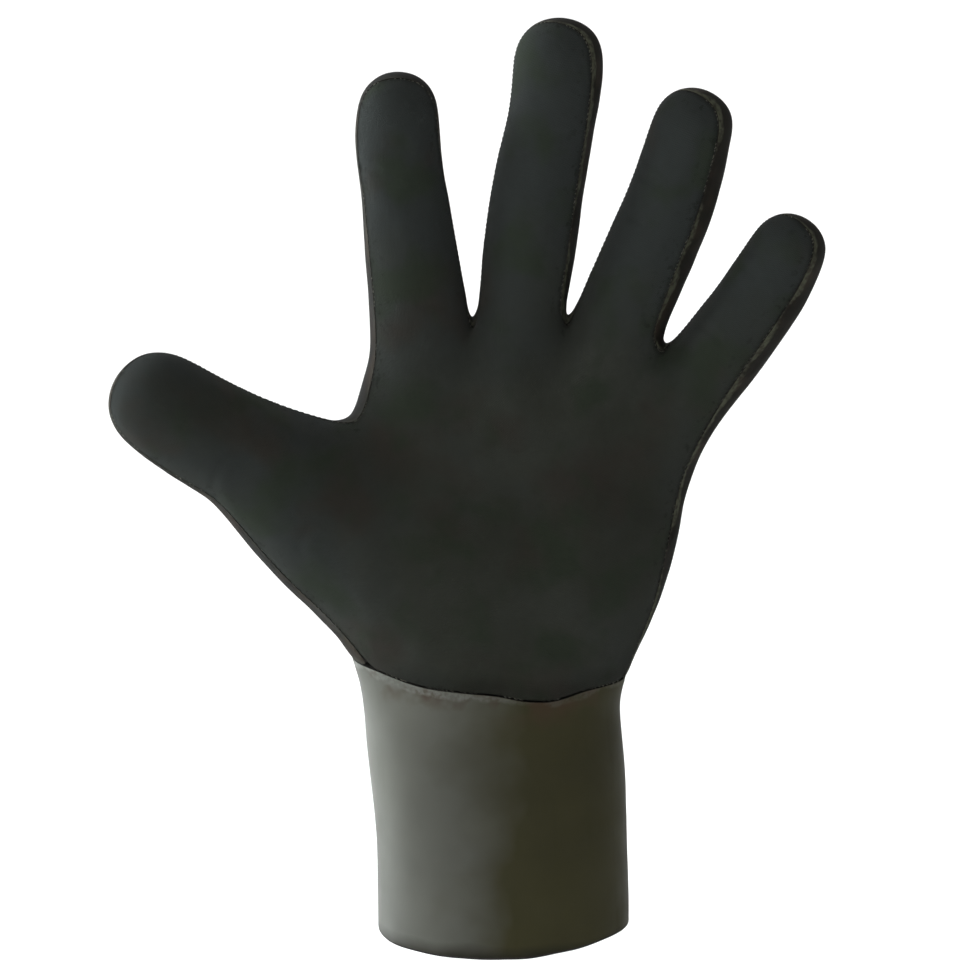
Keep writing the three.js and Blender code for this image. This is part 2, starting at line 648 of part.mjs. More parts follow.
const palmRows = Math.max(2, Math.round((palmLength * (1 - splitRise)) / (1.5 * facetLength)));
fillRings(palmBase, knuckleRing, palmRows);

// The four fingers.
const fingers = [limbs.index, limbs.middle, limbs.ring, limbs.little];
const crotchBridges = crotches.map((crotch, k) => {
  const column = (k + 1) * fingerColumns;
  const right = fingers[k + 1];
  return placeBridge(fingers[k], right, [right], crotch, knuckleRing.front[column], knuckleRing.back[column]);
});
fingers.forEach((limb, k) => {
  const base = branchOf(
    knuckleRing, k * fingerColumns, (k + 1) * fingerColumns, crotchBridges[k - 1] ?? null, crotchBridges[k] ?? null,
  );
  const highest = crotches
    .filter((_, at) => at === k || at === k - 1)
    .map((crotch) => shareAbove(limb, crotch, crotchClear));
  buildDigit(limb, base, Math.max(...highest));
});

// Neighbours of each point, and of a seam point only those along its own seam.
const neighbours = cage.points.map(() => new Set());
for (const { corners } of cage.faces)
  corners.forEach((corner, k) => {
    neighbours[corner].add(corners[(k + 1) % 4]);
    neighbours[corner].add(corners[(k + 3) % 4]);
  });
const edgePieces = new Map();
for (const { corners, piece } of cage.faces)
  corners.forEach((corner, k) => {
    const other = corners[(k + 1) % 4];
    const key = corner < other ? corner + "_" + other : other + "_" + corner;
    edgePieces.set(key, [...(edgePieces.get(key) ?? []), piece]);
  });
const seamNeighbours = cage.points.map(() => []);
for (const [key, pieces] of edgePieces) {
  if (pieces.length === 2 && pieces[0] === pieces[1]) continue;
  const [a, b] = key.split("_").map(Number);
  seamNeighbours[a].push(b);
  seamNeighbours[b].push(a);
}

// Evens out the cage on the glove's face.
for (let round = 0; round < settleRounds; round++) {
  const moved = cage.points.map((point, k) => {
    const kind = cage.kinds[k];
    if (kind === "pinned" || kind === "level") return point;
    const around = kind === "seam" && seamNeighbours[k].length === 2 ? seamNeighbours[k] : [...neighbours[k]];
    const middlePoint = new THREE.Vector3();
    for (const other of around) middlePoint.add(cage.points[other]);
    return settle(point.clone().lerp(middlePoint.divideScalar(around.length), 0.5), false, 1);
  });
  cage.points = moved;
}
const normals = cage.points.map((point, k) => {
  const normal = outwards(point);
  if (cage.kinds[k] === "level" && point.z < facetLength) normal.z = 0;
  return normal.normalize();
});

// One piece of sheet: its outer face, an inner face one wall inside it, and the cut edge between them. Its
// outline stands back from the seams by half the gap.
function sheetPiece(piece, thickness) {
  const faces = cage.faces.filter((face) => face.piece === piece);
  const edges = new Map();
  for (const { corners } of faces)
    corners.forEach((corner, k) => {
      const other = corners[(k + 1) % 4];
      if (edges.has(other + "_" + corner)) edges.delete(other + "_" + corner);
      else edges.set(corner + "_" + other, [corner, other]);
    });
  const standBack = new Map();
  for (const [a, b] of edges.values()) {
    const along = cage.points[b].clone().sub(cage.points[a]).normalize();
    for (const corner of [a, b]) {
      const into = normals[corner].clone().cross(along).normalize();
      standBack.set(corner, [...(standBack.get(corner) ?? []), into]);
    }
  }
  const outer = new Map();
  const inner = new Map();
  for (const corner of new Set(faces.flatMap(({ corners }) => corners))) {
    const point = cage.points[corner].clone();
    const free = piece === "cuff" && point.z < seamGap; // the mouth's rim is no seam
    const [first, second] = standBack.get(corner) ?? [];
    if (first && !free) {
      const both = second ? first.clone().add(second).normalize() : first;
      point.addScaledVector(both, seamGap / 2 / Math.max(0.4, both.dot(first)));
    }
    outer.set(corner, point);
    inner.set(corner, point.clone().addScaledVector(normals[corner], -thickness));
  }
  const triangles = [];
  const addQuad = (a, b, c, d) => {
    if (a.distanceTo(c) <= b.distanceTo(d)) triangles.push(a, b, c, a, c, d);
    else triangles.push(a, b, d, b, c, d);
  };
  for (const { corners } of faces) {
    addQuad(...corners.map((corner) => outer.get(corner)));
    addQuad(...[...corners].reverse().map((corner) => inner.get(corner)));
  }
  for (const [a, b] of edges.values()) addQuad(outer.get(b), outer.get(a), inner.get(a), inner.get(b));
  return new THREE.BufferGeometry().setFromPoints(triangles);
}

const clothFace = new THREE.MeshStandardMaterial({ color: 0x2a2d2b, roughness: 0.9, metalness: 0 });
const smoothSkin = new THREE.MeshStandardMaterial({ color: 0x4a4a44, roughness: 0.5, metalness: 0 });

function makePiece(name, thickness, material) {
  const mesh = new THREE.Mesh(sheetPiece(name, thickness), material);
  mesh.name = name;
  return mesh;
}

const glove = new THREE.Group();
glove.add(makePiece("palm_panel", panelWall, clothFace));
glove.add(makePiece("back_panel", panelWall, smoothSkin));
glove.add(makePiece("cuff", cuffWall, smoothSkin));

export default glove;
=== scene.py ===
"""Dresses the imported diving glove: foam panels with stitched seams, their lining, and a plain studio."""

import json
import logging
import math
import random
from dataclasses import dataclass, field
from enum import Enum

import bmesh
import bpy
from mathutils import Matrix, Vector, noise
from mathutils.kdtree import KDTree

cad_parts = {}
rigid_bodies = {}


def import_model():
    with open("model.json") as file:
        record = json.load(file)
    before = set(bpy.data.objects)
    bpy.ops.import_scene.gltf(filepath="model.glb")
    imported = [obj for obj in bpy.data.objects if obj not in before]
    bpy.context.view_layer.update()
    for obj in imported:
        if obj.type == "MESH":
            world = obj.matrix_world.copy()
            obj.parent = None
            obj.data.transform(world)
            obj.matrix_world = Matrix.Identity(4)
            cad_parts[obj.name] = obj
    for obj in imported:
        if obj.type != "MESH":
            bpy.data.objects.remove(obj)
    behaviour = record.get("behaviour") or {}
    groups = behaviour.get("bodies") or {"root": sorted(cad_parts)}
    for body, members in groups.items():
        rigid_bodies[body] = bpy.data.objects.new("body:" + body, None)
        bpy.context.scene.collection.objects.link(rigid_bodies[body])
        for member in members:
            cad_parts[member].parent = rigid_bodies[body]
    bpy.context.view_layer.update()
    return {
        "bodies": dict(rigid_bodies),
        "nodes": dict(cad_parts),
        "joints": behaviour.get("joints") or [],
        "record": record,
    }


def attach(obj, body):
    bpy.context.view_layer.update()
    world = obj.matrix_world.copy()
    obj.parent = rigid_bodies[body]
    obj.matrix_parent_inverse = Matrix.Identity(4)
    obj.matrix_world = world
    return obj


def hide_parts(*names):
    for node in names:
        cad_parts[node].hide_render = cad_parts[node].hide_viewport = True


Socket = bpy.types.NodeSocket
Triple = tuple[float, float, float]

LOG = logging.getLogger("diving_glove")
MM = 0.001
SEAM_GAP = "seam_gap"
PALM_CENTRE = (0.0, 0.0, 105.0 * MM)
# Painted shade: the near-black colour laid in the hollows between the knitted loops.
PAINTED_LOOP_SHADE = (0.003, 0.003, 0.003)
DULL_RUBBER = (0.004, 0.004, 0.003)
SAME_POINT = 0.01 * MM
SAME_SEAM = 1.5 * MM
SHEET_EDGE_TURN = math.radians(62)
QUAD_TURN = math.radians(70)
SWELL_FRAMES = 20


class Part(Enum):
    """The faces of a foam sheet, in the order of a panel's material slots."""

    OUTER = 0
    LINING = 1
    CUT_EDGE = 2


def leave_edit_mode() -> None:
    """Goes back to object mode with nothing selected."""
    if bpy.context.object and bpy.context.object.mode != "OBJECT":
        bpy.ops.object.mode_set(mode="OBJECT")
    bpy.ops.object.select_all(action="DESELECT")


def make_active(piece: bpy.types.Object) -> None:
    """Selects one object alone and makes it active.

    Args:
        piece: The object to work on.
    """
    leave_edit_mode()
    piece.select_set(True)
    bpy.context.view_layer.objects.active = piece


def edit_only(piece: bpy.types.Object, kind: str, chosen: set[int]) -> None:
    """Opens an object in edit mode with only the chosen points, edges or faces selected.

    Args:
        piece: The object to edit.
        kind: VERT, EDGE or FACE.
        chosen: The indices of what is selected.
    """
    make_active(piece)
    bpy.ops.object.mode_set(mode="EDIT")
    bpy.ops.mesh.select_mode(type=kind)
    bpy.ops.mesh.select_all(action="DESELECT")
    bpy.ops.object.mode_set(mode="OBJECT")
    mesh = piece.data
    elements = {"VERT": mesh.vertices, "EDGE": mesh.edges, "FACE": mesh.polygons}[kind]
    for k in chosen:
        elements[k].select = True
    bpy.ops.object.mode_set(mode="EDIT")


def apply_modifiers(piece: bpy.types.Object) -> None:
    """Applies all of an object's modifiers, first to last.

    Args:
        piece: The object whose modifiers are applied.
    """
    make_active(piece)
    for modifier in list(piece.modifiers):
        bpy.ops.object.modifier_apply(modifier=modifier.name)


def smooth_step(edge: float, full: float, value: float) -> float:
    """Eases from 0 at edge to 1 at full.

    Args:
        edge: The value at which the result is 0.
        full: The value at which the result is 1.
        value: The value to ease.

    Returns:
        A share from 0 to 1.
    """
    t = min(1.0, max(0.0, (value - edge) / (full - edge)))
    return t * t * (3.0 - 2.0 * t)


class Shader:
    """Builds one node material, with its shader node named principled."""

    def __init__(self, name: str) -> None:
        """Starts an empty material.

        Args:
            name: The material's name.
        """
        self.material = bpy.data.materials.new(name)
        self.material.use_nodes = True
        self.tree = self.material.node_tree
        self.tree.nodes.clear()
        self.principled = self.tree.nodes.new("ShaderNodeBsdfPrincipled")
        output = self.tree.nodes.new("ShaderNodeOutputMaterial")
        self.link(self.principled.outputs["BSDF"], output.inputs["Surface"])

    def link(self, start: Socket, end: Socket) -> None:
        """Links one socket to another."""
        self.tree.links.new(start, end)

    def coordinates(self, kind: str, scale: Triple = (1.0, 1.0, 1.0)) -> Socket:
        """Adds scaled coordinates.

        Args:
            kind: Object or UV.
            scale: How many pattern units there are in a metre, along each axis.

        Returns:
            The scaled vector.
        """
        source = self.tree.nodes.new("ShaderNodeTexCoord")
        mapping = self.tree.nodes.new("ShaderNodeMapping")
        mapping.inputs["Scale"].default_value = scale
        self.link(source.outputs[kind], mapping.inputs["Vector"])
        return mapping.outputs["Vector"]

    def noise(self, vector: Socket, scale: float, detail: float = 3.0) -> Socket:
        """Adds a noise texture.

        Args:
            vector: Where it is read.
            scale: Its scale.
            detail: Its octaves.

        Returns:
            The noise, about 0.5 on average.
        """
        node = self.tree.nodes.new("ShaderNodeTexNoise")
        node.inputs["Scale"].default_value = scale
        node.inputs["Detail"].default_value = detail
        self.link(vector, node.inputs["Vector"])
        return node.outputs["Fac"]

    def grains(self, vector: Socket, scale: float) -> Socket:
        """Adds the distance to the nearest of many scattered points.

        Args:
            vector: Where it is read.
            scale: How many points there are along a unit.

        Returns:
            The distance, 0 at each point.
        """
        node = self.tree.nodes.new("ShaderNodeTexVoronoi")
        node.inputs["Scale"].default_value = scale
        self.link(vector, node.inputs["Vector"])
        return node.outputs["Distance"]

    def seam_gap(self) -> Socket:
        """Adds the distance to the nearest seam in metres, as the panel's mesh holds it."""
        node = self.tree.nodes.new("ShaderNodeAttribute")
        node.attribute_name = SEAM_GAP
        return node.outputs["Fac"]

    def axis(self, vector: Socket, name: str) -> Socket:
        """Takes one axis, X, Y or Z, of a vector."""
        node = self.tree.nodes.new("ShaderNodeSeparateXYZ")
        self.link(vector, node.inputs["Vector"])
        return node.outputs[name]

    def distance(self, vector: Socket, place: Triple) -> Socket:
        """Adds the distance from a place in metres."""
        node = self.tree.nodes.new("ShaderNodeVectorMath")
        node.operation = "DISTANCE"
        node.inputs[1].default_value = place
        self.link(vector, node.inputs[0])
        return node.outputs["Value"]

    def drift(self, value: Socket, vector: Socket, scale: float, size: float) -> Socket:
        """Shifts a value up and down unevenly.

        Args:
            value: The value to shift.
            vector: Where the unevenness is read.
            scale: The unevenness's scale.
            size: How far it shifts the value, from lowest to highest.

        Returns:
            The shifted value.
        """
        centred = self.maths("SUBTRACT", self.noise(vector, scale), 0.5)
        return self.maths("ADD", value, self.maths("MULTIPLY", centred, size))

    def remap(
        self, value: Socket, low: float, high: float, new_low: float = 0.0, new_high: float = 1.0
    ) -> Socket:
        """Maps a range onto another, clamped.

        Args:
            value: The value to map.
            low: Its value that becomes new_low.
            high: Its value that becomes new_high.
            new_low: The new value at low.
            new_high: The new value at high.

        Returns:
            The mapped value.
        """
        node = self.tree.nodes.new("ShaderNodeMapRange")
        node.inputs["From Min"].default_value = low
        node.inputs["From Max"].default_value = high
        node.inputs["To Min"].default_value = new_low
        node.inputs["To Max"].default_value = new_high
        self.link(value, node.inputs["Value"])
        return node.outputs["Result"]

    def maths(self, operation: str, first: Socket | float, second: Socket | float = 0.0) -> Socket:
        """Adds a Math node.

        Args:
            operation: Its operation, such as MULTIPLY.
            first: Its first value.
            second: Its second value, where it has one.

        Returns:
            The result.
        """
        node = self.tree.nodes.new("ShaderNodeMath")
        node.operation = operation
        for socket, value in zip(node.inputs, (first, second)):
            if isinstance(value, (int, float)):
                socket.default_value = value
            else:
                self.link(value, socket)
        return node.outputs["Value"]

    def blend_colours(self, share: Socket, first: Triple | Socket, second: Triple | Socket) -> Socket:
        """Mixes two colours.

        Args:
            share: How much of the second shows.
            first: The first colour.
            second: The second colour.

        Returns:
            The mixed colour.
        """
        node = self.tree.nodes.new("ShaderNodeMix")
        node.data_type = "RGBA"
        colour_a, colour_b = node.inputs[6:8]
        self.link(share, node.inputs["Factor"])
        for socket, value in ((colour_a, first), (colour_b, second)):
            if isinstance(value, tuple):
                socket.default_value = (*value, 1.0)
            else:
                self.link(value, socket)
        return node.outputs[2]

    def bump(
        self, height: Socket, distance: float, strength: float, under: Socket | None = None
    ) -> Socket:
        """Adds a bump.

        Args:
            height: The height, 0 to 1.
            distance: The height's size in metres.
            strength: How much of it shows.
            under: The normal that it adds to, if any.

        Returns:
            The bumped normal.
        """
        node = self.tree.nodes.new("ShaderNodeBump")
        node.inputs["Distance"].default_value = distance
        node.inputs["Strength"].default_value = strength
        self.link(height, node.inputs["Height"])
        if under is not None:
            self.link(under, node.inputs["Normal"])
        return node.outputs["Normal"]


@dataclass(frozen=True)
class KnitFinish:
    """A fine jersey knit laminated on foam rubber, read along the sheet's own UV map in metres.

    Attributes:
        name: The material's name.
        shade: Its dyed colour near the wrist.
        worn_shade: Its colour where the dye has worn.
        cool_shade: Its colour towards the fingertips.
        stained_shade: The colour of its stains.
        faded_shade: The colour of its faded patches.
        wale: The width of a column of loops, in metres.
        course: The height of a row of loops, in metres.
        relief: The height of the loops, in metres.
        roughness: The shader's roughness.
        sheen: The shader's sheen.
    """

    name: str
    shade: Triple
    worn_shade: Triple
    cool_shade: Triple
    stained_shade: Triple
    faded_shade: Triple
    wale: float = 0.62 * MM
    course: float = 0.5 * MM
    relief: float = 0.09 * MM
    roughness: float = 1.0
    sheen: float = 0.02

    def material(self) -> bpy.types.Material:
        """Builds the knit: columns of small V loops over mottled dye, with painted shade in the hollows
        between the loops.
        """
        shader = Shader(self.name)
        solid = shader.coordinates("Object")
        loops = self.loops(shader)
        # Painted shade: darkens the colour between the loops, where shade falls.
        between = shader.remap(loops, 0.0, 0.6, 0.55, 0.0)
        colour = shader.blend_colours(between, self.dye(shader, solid), PAINTED_LOOP_SHADE)
        shader.link(colour, shader.principled.inputs["Base Color"])
        coarse = shader.bump(shader.noise(solid, scale=150.0), distance=0.25 * MM, strength=0.35)
        knitted = shader.bump(loops, distance=self.relief, strength=0.9, under=coarse)
        fuzz = shader.noise(solid, scale=900.0, detail=2.0)
        fuzzy = shader.bump(fuzz, distance=0.03 * MM, strength=0.5, under=knitted)
        shader.link(fuzzy, shader.principled.inputs["Normal"])
        shader.principled.inputs["Roughness"].default_value = self.roughness
        shader.principled.inputs["Specular IOR Level"].default_value = 0.05
        shader.principled.inputs["Sheen Weight"].default_value = self.sheen
        shader.principled.inputs["Sheen Roughness"].default_value = 0.6
        return shader.material

    def loops(self, shader: Shader) -> Socket:
        """Builds the height of the knitted loops, 0 between them and 1 on top.

        Args:
            shader: The material being built.

        Returns:
            The height.
        """
        flat = shader.coordinates("UV")
        column = shader.maths("FRACT", shader.maths("DIVIDE", shader.axis(flat, "X"), self.wale))
        from_middle = shader.maths("ABSOLUTE", shader.maths("SUBTRACT", column, 0.5))
        row = shader.maths("DIVIDE", shader.axis(flat, "Y"), self.course)
        slanted = shader.maths("ADD", row, shader.maths("MULTIPLY", from_middle, 1.6))
        loop = shader.maths("ABSOLUTE", shader.maths("SINE", shader.maths("MULTIPLY", slanted, math.pi)))
        rib = shader.maths("SINE", shader.maths("MULTIPLY", from_middle, 2.0 * math.pi))
        rounded = shader.maths("ADD", shader.maths("MULTIPLY", rib, 0.75), 0.25)
        return shader.maths("MULTIPLY", loop, rounded)

    def dye(self, shader: Shader, solid: Socket) -> Socket:
        """Builds the mottled dye: worn, stained and faded patches, cooler fingertips, darker seam edges,
        darker still beside the seams low down by the wrist, and dark specks near the seams.

        Args:
            shader: The material being built.
            solid: The object's own coordinates in metres.

        Returns:
            The colour.
        """
        worn = shader.remap(shader.noise(solid, scale=34.0, detail=4.0), 0.35, 0.68)
        dyed = shader.blend_colours(worn, self.shade, self.worn_shade)
        from_palm = shader.distance(solid, PALM_CENTRE)
        cool = shader.remap(
            shader.drift(from_palm, solid, scale=27.0, size=200.0 * MM), 40.0 * MM, 115.0 * MM
        )
        cooled = shader.blend_colours(cool, dyed, self.cool_shade)
        stains = shader.remap(shader.noise(solid, scale=43.0), 0.53, 0.68, 0.0, 0.8)
        stained = shader.blend_colours(stains, cooled, self.stained_shade)
        fading = shader.remap(shader.noise(solid, scale=61.0), 0.5, 0.64, 0.0, 0.75)
        faded = shader.blend_colours(fading, stained, self.faded_shade)
        # Darker along the seam edges, and in a band beside the seams low down by the wrist; dark specks
        # near the seams.
        gap = shader.seam_gap()
        ragged = shader.drift(gap, solid, scale=300.0, size=1.2 * MM)
        edge = shader.remap(ragged, 0.3 * MM, 1.6 * MM, 0.55, 0.0)
        specks = shader.remap(shader.noise(solid, scale=480.0, detail=2.0), 0.6, 0.66, 0.0, 0.6)
        thinning = shader.remap(gap, 1.0 * MM, 6.0 * MM, 1.0, 0.08)
        edge_specks = shader.maths("MULTIPLY", specks, thinning)
        uneven = shader.drift(gap, solid, scale=90.0, size=6.0 * MM)
        by_wrist = shader.remap(uneven, 0.0, 7.0 * MM, 0.5, 0.0)
        low = shader.remap(shader.axis(solid, "Z"), 80.0 * MM, 95.0 * MM, 1.0, 0.0)
        seam_darkening = shader.maths("MAXIMUM", edge, shader.maths("MULTIPLY", by_wrist, low))
        seam_darkening_and_specks = shader.maths("MAXIMUM", seam_darkening, edge_specks)
        return shader.blend_colours(seam_darkening_and_specks, faded, tuple(0.3 * value for value in self.shade))


@dataclass(frozen=True)
class SmoothSkinFinish:
    """The smooth skin of foam rubber: satin, faintly dimpled, with soft marks of wear and chipped edges,
    and painted light that makes its thumb's side lighter than its little finger's side.

    Attributes:
        name: The material's name.
        lit_thumb_side_colour: Its colour on the thumb's side, made lighter there as painted light from the
            left.
        shaded_little_side_colour: Its colour on the little finger's side, made darker there as painted
            shade.
        chipped_shade: Its colour where the skin is chipped beside a seam.
        rusty_shade: The colour of its brownish patches beside a seam.
        chips: How much of the chips' paleness shows on the thumb's and on the little finger's side.
        roughness: The shader's roughness on the thumb's side.
        specular: The shader's specular level.
        rougher: How much rougher the little finger's side is.
        matt_edge: How much rougher the skin is beside a seam.
        shaded_below: The height of the band of painted shade at the mouth, in metres.
    """

    name: str
    lit_thumb_side_colour: Triple
    shaded_little_side_colour: Triple
    chipped_shade: Triple
    rusty_shade: Triple
    chips: tuple[float, float]
    roughness: float
    specular: float
    rougher: float = 0.0
    matt_edge: float = 0.0
    shaded_below: float = -1.0

    def material(self) -> bpy.types.Material:
        """Builds the skin: slow changes of colour and gloss over fine dimples and a few long scuffs."""
        shader = Shader(self.name)
        solid = shader.coordinates("Object")
        across = shader.drift(shader.axis(solid, "X"), solid, scale=34.0, size=40.0 * MM)
        aside = shader.remap(across, -17.0 * MM, 3.0 * MM)
        shader.link(self.colour(shader, solid, aside), shader.principled.inputs["Base Color"])
        upright = shader.coordinates("Object", (260.0, 260.0, 26.0))
        scuffs = shader.remap(shader.noise(upright, scale=1.0), 0.55, 0.75)
        low, high = self.roughness - 0.05, self.roughness + 0.05
        gloss = shader.remap(shader.noise(solid, scale=90.0), 0.3, 0.7, low, high)
        marked = shader.maths("ADD", gloss, shader.maths("MULTIPLY", scuffs, 0.07))
        rough = shader.maths("ADD", marked, shader.maths("MULTIPLY", aside, self.rougher))
        matt = shader.remap(shader.seam_gap(), 7.0 * MM, 15.0 * MM, self.matt_edge, 0.0)
        shader.link(shader.maths("ADD", rough, matt), shader.principled.inputs["Roughness"])
        dimpled = shader.bump(shader.grains(solid, scale=1100.0), distance=0.02 * MM, strength=0.25)
        waves = shader.noise(solid, scale=120.0)
        wavy = shader.bump(waves, distance=0.1 * MM, strength=0.25, under=dimpled)
        scuffed = shader.bump(scuffs, distance=0.02 * MM, strength=0.4, under=wavy)
        shader.link(scuffed, shader.principled.inputs["Normal"])
        shader.principled.inputs["Specular IOR Level"].default_value = self.specular
        return shader.material

    def colour(self, shader: Shader, solid: Socket, aside: Socket) -> Socket:
        """Builds the skin's colour: painted light from the thumb's side to the little finger's side, rusty
        patches and chips beside the seams, and painted shade at the mouth.

        Args:
            shader: The material being built.
            solid: The object's own coordinates in metres.
            aside: 0 on the thumb's side to 1 on the little finger's side.

        Returns:
            The colour.
        """
        # Painted light: lighter on the thumb's side, as if lit from the left, and darker on the little
        # finger's side.
        plain = shader.blend_colours(aside, self.lit_thumb_side_colour, self.shaded_little_side_colour)
        dull = shader.remap(shader.noise(solid, scale=26.0, detail=4.0), 0.38, 0.66, 0.25, 0.0)
        dulled = shader.blend_colours(dull, plain, DULL_RUBBER)
        gap = shader.seam_gap()
        patches = shader.remap(shader.noise(solid, scale=75.0), 0.5, 0.62, 0.0, 0.9)
        uneven = shader.drift(gap, solid, scale=60.0, size=8.0 * MM)
        near = shader.remap(uneven, 2.0 * MM, 9.0 * MM, 1.0, 0.0)
        rusty = shader.blend_colours(shader.maths("MULTIPLY", patches, near), dulled, self.rusty_shade)
        broad = shader.drift(gap, solid, scale=62.0, size=9.0 * MM)
        ragged = shader.drift(broad, solid, scale=420.0, size=1.6 * MM)
        chips = shader.remap(ragged, 0.9 * MM, 1.8 * MM, 1.0, 0.0)
        speckle = shader.remap(shader.noise(solid, scale=700.0, detail=2.0), 0.36, 0.6, 0.3, 1.0)
        paler = shader.maths("MULTIPLY", speckle, shader.remap(aside, 0.0, 1.0, *self.chips))
        chipped = shader.blend_colours(shader.maths("MULTIPLY", chips, paler), rusty, self.chipped_shade)
        # Painted shade: the colour darkens in a band at the mouth, where shade falls.
        height = shader.drift(shader.axis(solid, "Z"), solid, scale=60.0, size=4.0 * MM)
        grime_and_shade = shader.remap(height, self.shaded_below - 4.0 * MM, self.shaded_below, 1.0, 0.0)
        return shader.blend_colours(grime_and_shade, chipped, tuple(0.25 * value for value in self.shaded_little_side_colour))


@dataclass(frozen=True)
class FoamFinish:
    """The cut edge of foam rubber, full of tiny open cells.

    Attributes:
        name: The material's name.
        shade: Its colour between the cells.
    """

    name: str
    shade: Triple

    def material(self) -> bpy.types.Material:
        """Builds the porous cut face, with painted shade in its open cells."""
        shader = Shader(self.name)
        solid = shader.coordinates("Object")
        cells = shader.grains(solid, scale=2600.0)
        # Painted shade: darkens the open cells, where shade falls inside them.
        pore_shade = shader.remap(cells, 0.1, 0.5, 1.0, 0.0)
        dark = tuple(0.3 * value for value in self.shade)
        shader.link(shader.blend_colours(pore_shade, self.shade, dark), shader.principled.inputs["Base Color"])
        porous = shader.bump(cells, distance=0.12 * MM, strength=0.7)
        shader.link(porous, shader.principled.inputs["Normal"])
        shader.principled.inputs["Roughness"].default_value = 0.85
        shader.principled.inputs["Specular IOR Level"].default_value = 0.2
        return shader.material


@dataclass(frozen=True)
class ThreadFinish:
    """Twisted nylon sewing thread.

    Attributes:
        name: The material's name.
        shade: Its colour where it isn't grimy.
    """

    name: str
    shade: Triple

    def material(self) -> bpy.types.Material:
        """Builds the thread with its fine twist."""
        shader = Shader(self.name)
        solid = shader.coordinates("Object")
        grime_and_shade = shader.remap(shader.noise(solid, scale=75.0, detail=4.0), 0.4, 0.6)
        dark = tuple(0.2 * value for value in self.shade)
        shader.link(shader.blend_colours(grime_and_shade, self.shade, dark), shader.principled.inputs["Base Color"])
        twist = shader.noise(solid, scale=6000.0, detail=1.0)
        twisted = shader.bump(twist, distance=0.05 * MM, strength=0.6)
        shader.link(twisted, shader.principled.inputs["Normal"])
        shader.principled.inputs["Roughness"].default_value = 0.8
        shader.principled.inputs["Specular IOR Level"].default_value = 0.2
        return shader.material


@dataclass(frozen=True)
class FloorFinish:
    """A plain pale matt floor.

    Attributes:
        name: The material's name.
        shade: Its colour.
    """

    name: str = "pale_floor"
    shade: Triple = (0.93, 0.93, 0.925)

    def material(self) -> bpy.types.Material:
        """Builds the matt floor."""
        shader = Shader(self.name)
        shader.principled.inputs["Base Color"].default_value = (*self.shade, 1.0)
        shader.principled.inputs["Roughness"].default_value = 0.95
        shader.principled.inputs["Specular IOR Level"].default_value = 0.1
        return shader.material


BLACK_KNIT = KnitFinish(
    "black_knit",
    shade=(0.0215, 0.0235, 0.0180),
    worn_shade=(0.0315, 0.0345, 0.0290),
    cool_shade=(0.0245, 0.0285, 0.0275),
    stained_shade=(0.0265, 0.0240, 0.0200),
    faded_shade=(0.0195, 0.0260, 0.0170),
)
LINING_KNIT = KnitFinish(
    "lining_knit",
    shade=(0.030, 0.030, 0.032),
    worn_shade=(0.045, 0.045, 0.047),
    cool_shade=(0.034, 0.034, 0.036),
    stained_shade=(0.033, 0.031, 0.030),
    faded_shade=(0.031, 0.032, 0.031),
    wale=0.8 * MM,
    course=0.65 * MM,
)
BACK_SKIN = SmoothSkinFinish(
    "back_skin",
    # Painted light: the thumb's side a little lighter than the little finger's side.
    lit_thumb_side_colour=(0.0080, 0.0078, 0.0066),
    shaded_little_side_colour=(0.0080, 0.0070, 0.0050),
    chipped_shade=(0.050, 0.053, 0.036),
    rusty_shade=(0.0170, 0.0125, 0.0090),
    roughness=0.58,
    matt_edge=0.34,
    specular=0.14,
    chips=(0.2, 1.0),
)
CUFF_SKIN = SmoothSkinFinish(
    "cuff_skin",
    # Painted light: the cuff's thumb side is given a much lighter colour than its little finger side, as
    # if lit from the left.
    lit_thumb_side_colour=(0.0740, 0.0760, 0.0640),
    shaded_little_side_colour=(0.0290, 0.0270, 0.0090),
    chipped_shade=(0.100, 0.104, 0.092),
    rusty_shade=(0.0340, 0.0215, 0.0110),
    roughness=0.5,
    rougher=0.15,
    specular=0.18,
    chips=(1.0, 0.25),
    # Painted shade: a darker band at the mouth.
    shaded_below=4.5 * MM,
)
CUT_FOAM = FoamFinish("cut_foam", (0.018, 0.017, 0.015))
SEAM_THREAD = ThreadFinish("seam_thread", (0.080, 0.079, 0.064))


@dataclass(frozen=True)
class Fold:
    """A soft crease across a digit on the palm's side, with the foam swelling on both sides of it.

    Attributes:
        centre: Its middle (x, z) in millimetres.
        lean: The direction of the digit that it crosses, in degrees from upright, positive to the right.
        reach: Half its length in millimetres.
        width: Half its width in millimetres.
        depth: Its depth in millimetres.
        bow: How much it bends towards the wrist at its ends.
        steepness: How steep its walls are.
    """

    centre: tuple[float, float]
    lean: float
    reach: float
    width: float = 1.5
    depth: float = 0.3
    bow: float = 0.035
    steepness: float = 0.62

    def height_at(self, point: Vector, normal: Vector) -> float:
        """How far the fold moves a point outwards.

        Args:
            point: The point in metres.
            normal: The surface's normal there.

        Returns:
            The outward move in metres, negative in the crease.
        """
        lean = math.radians(self.lean)
        dx, dz = point.x / MM - self.centre[0], point.z / MM - self.centre[1]
        along = dx * math.sin(lean) + dz * math.cos(lean)
        across = dx * math.cos(lean) - dz * math.sin(lean)
        if abs(along) > 4.0 * self.width or abs(across) > self.reach:
            return 0.0
        to_palm = smooth_step(-0.15, 0.6, -normal.y)
        bowed = along + self.bow * across * across / max(1.0, self.reach / 8.0)
        fall = self.steepness * (bowed / self.width) ** 2
        ends = 1.0 - smooth_step(0.55 * self.reach, self.reach, abs(across))
        return -self.depth * MM * (1.0 - fall) * math.exp(-fall) * to_palm * ends


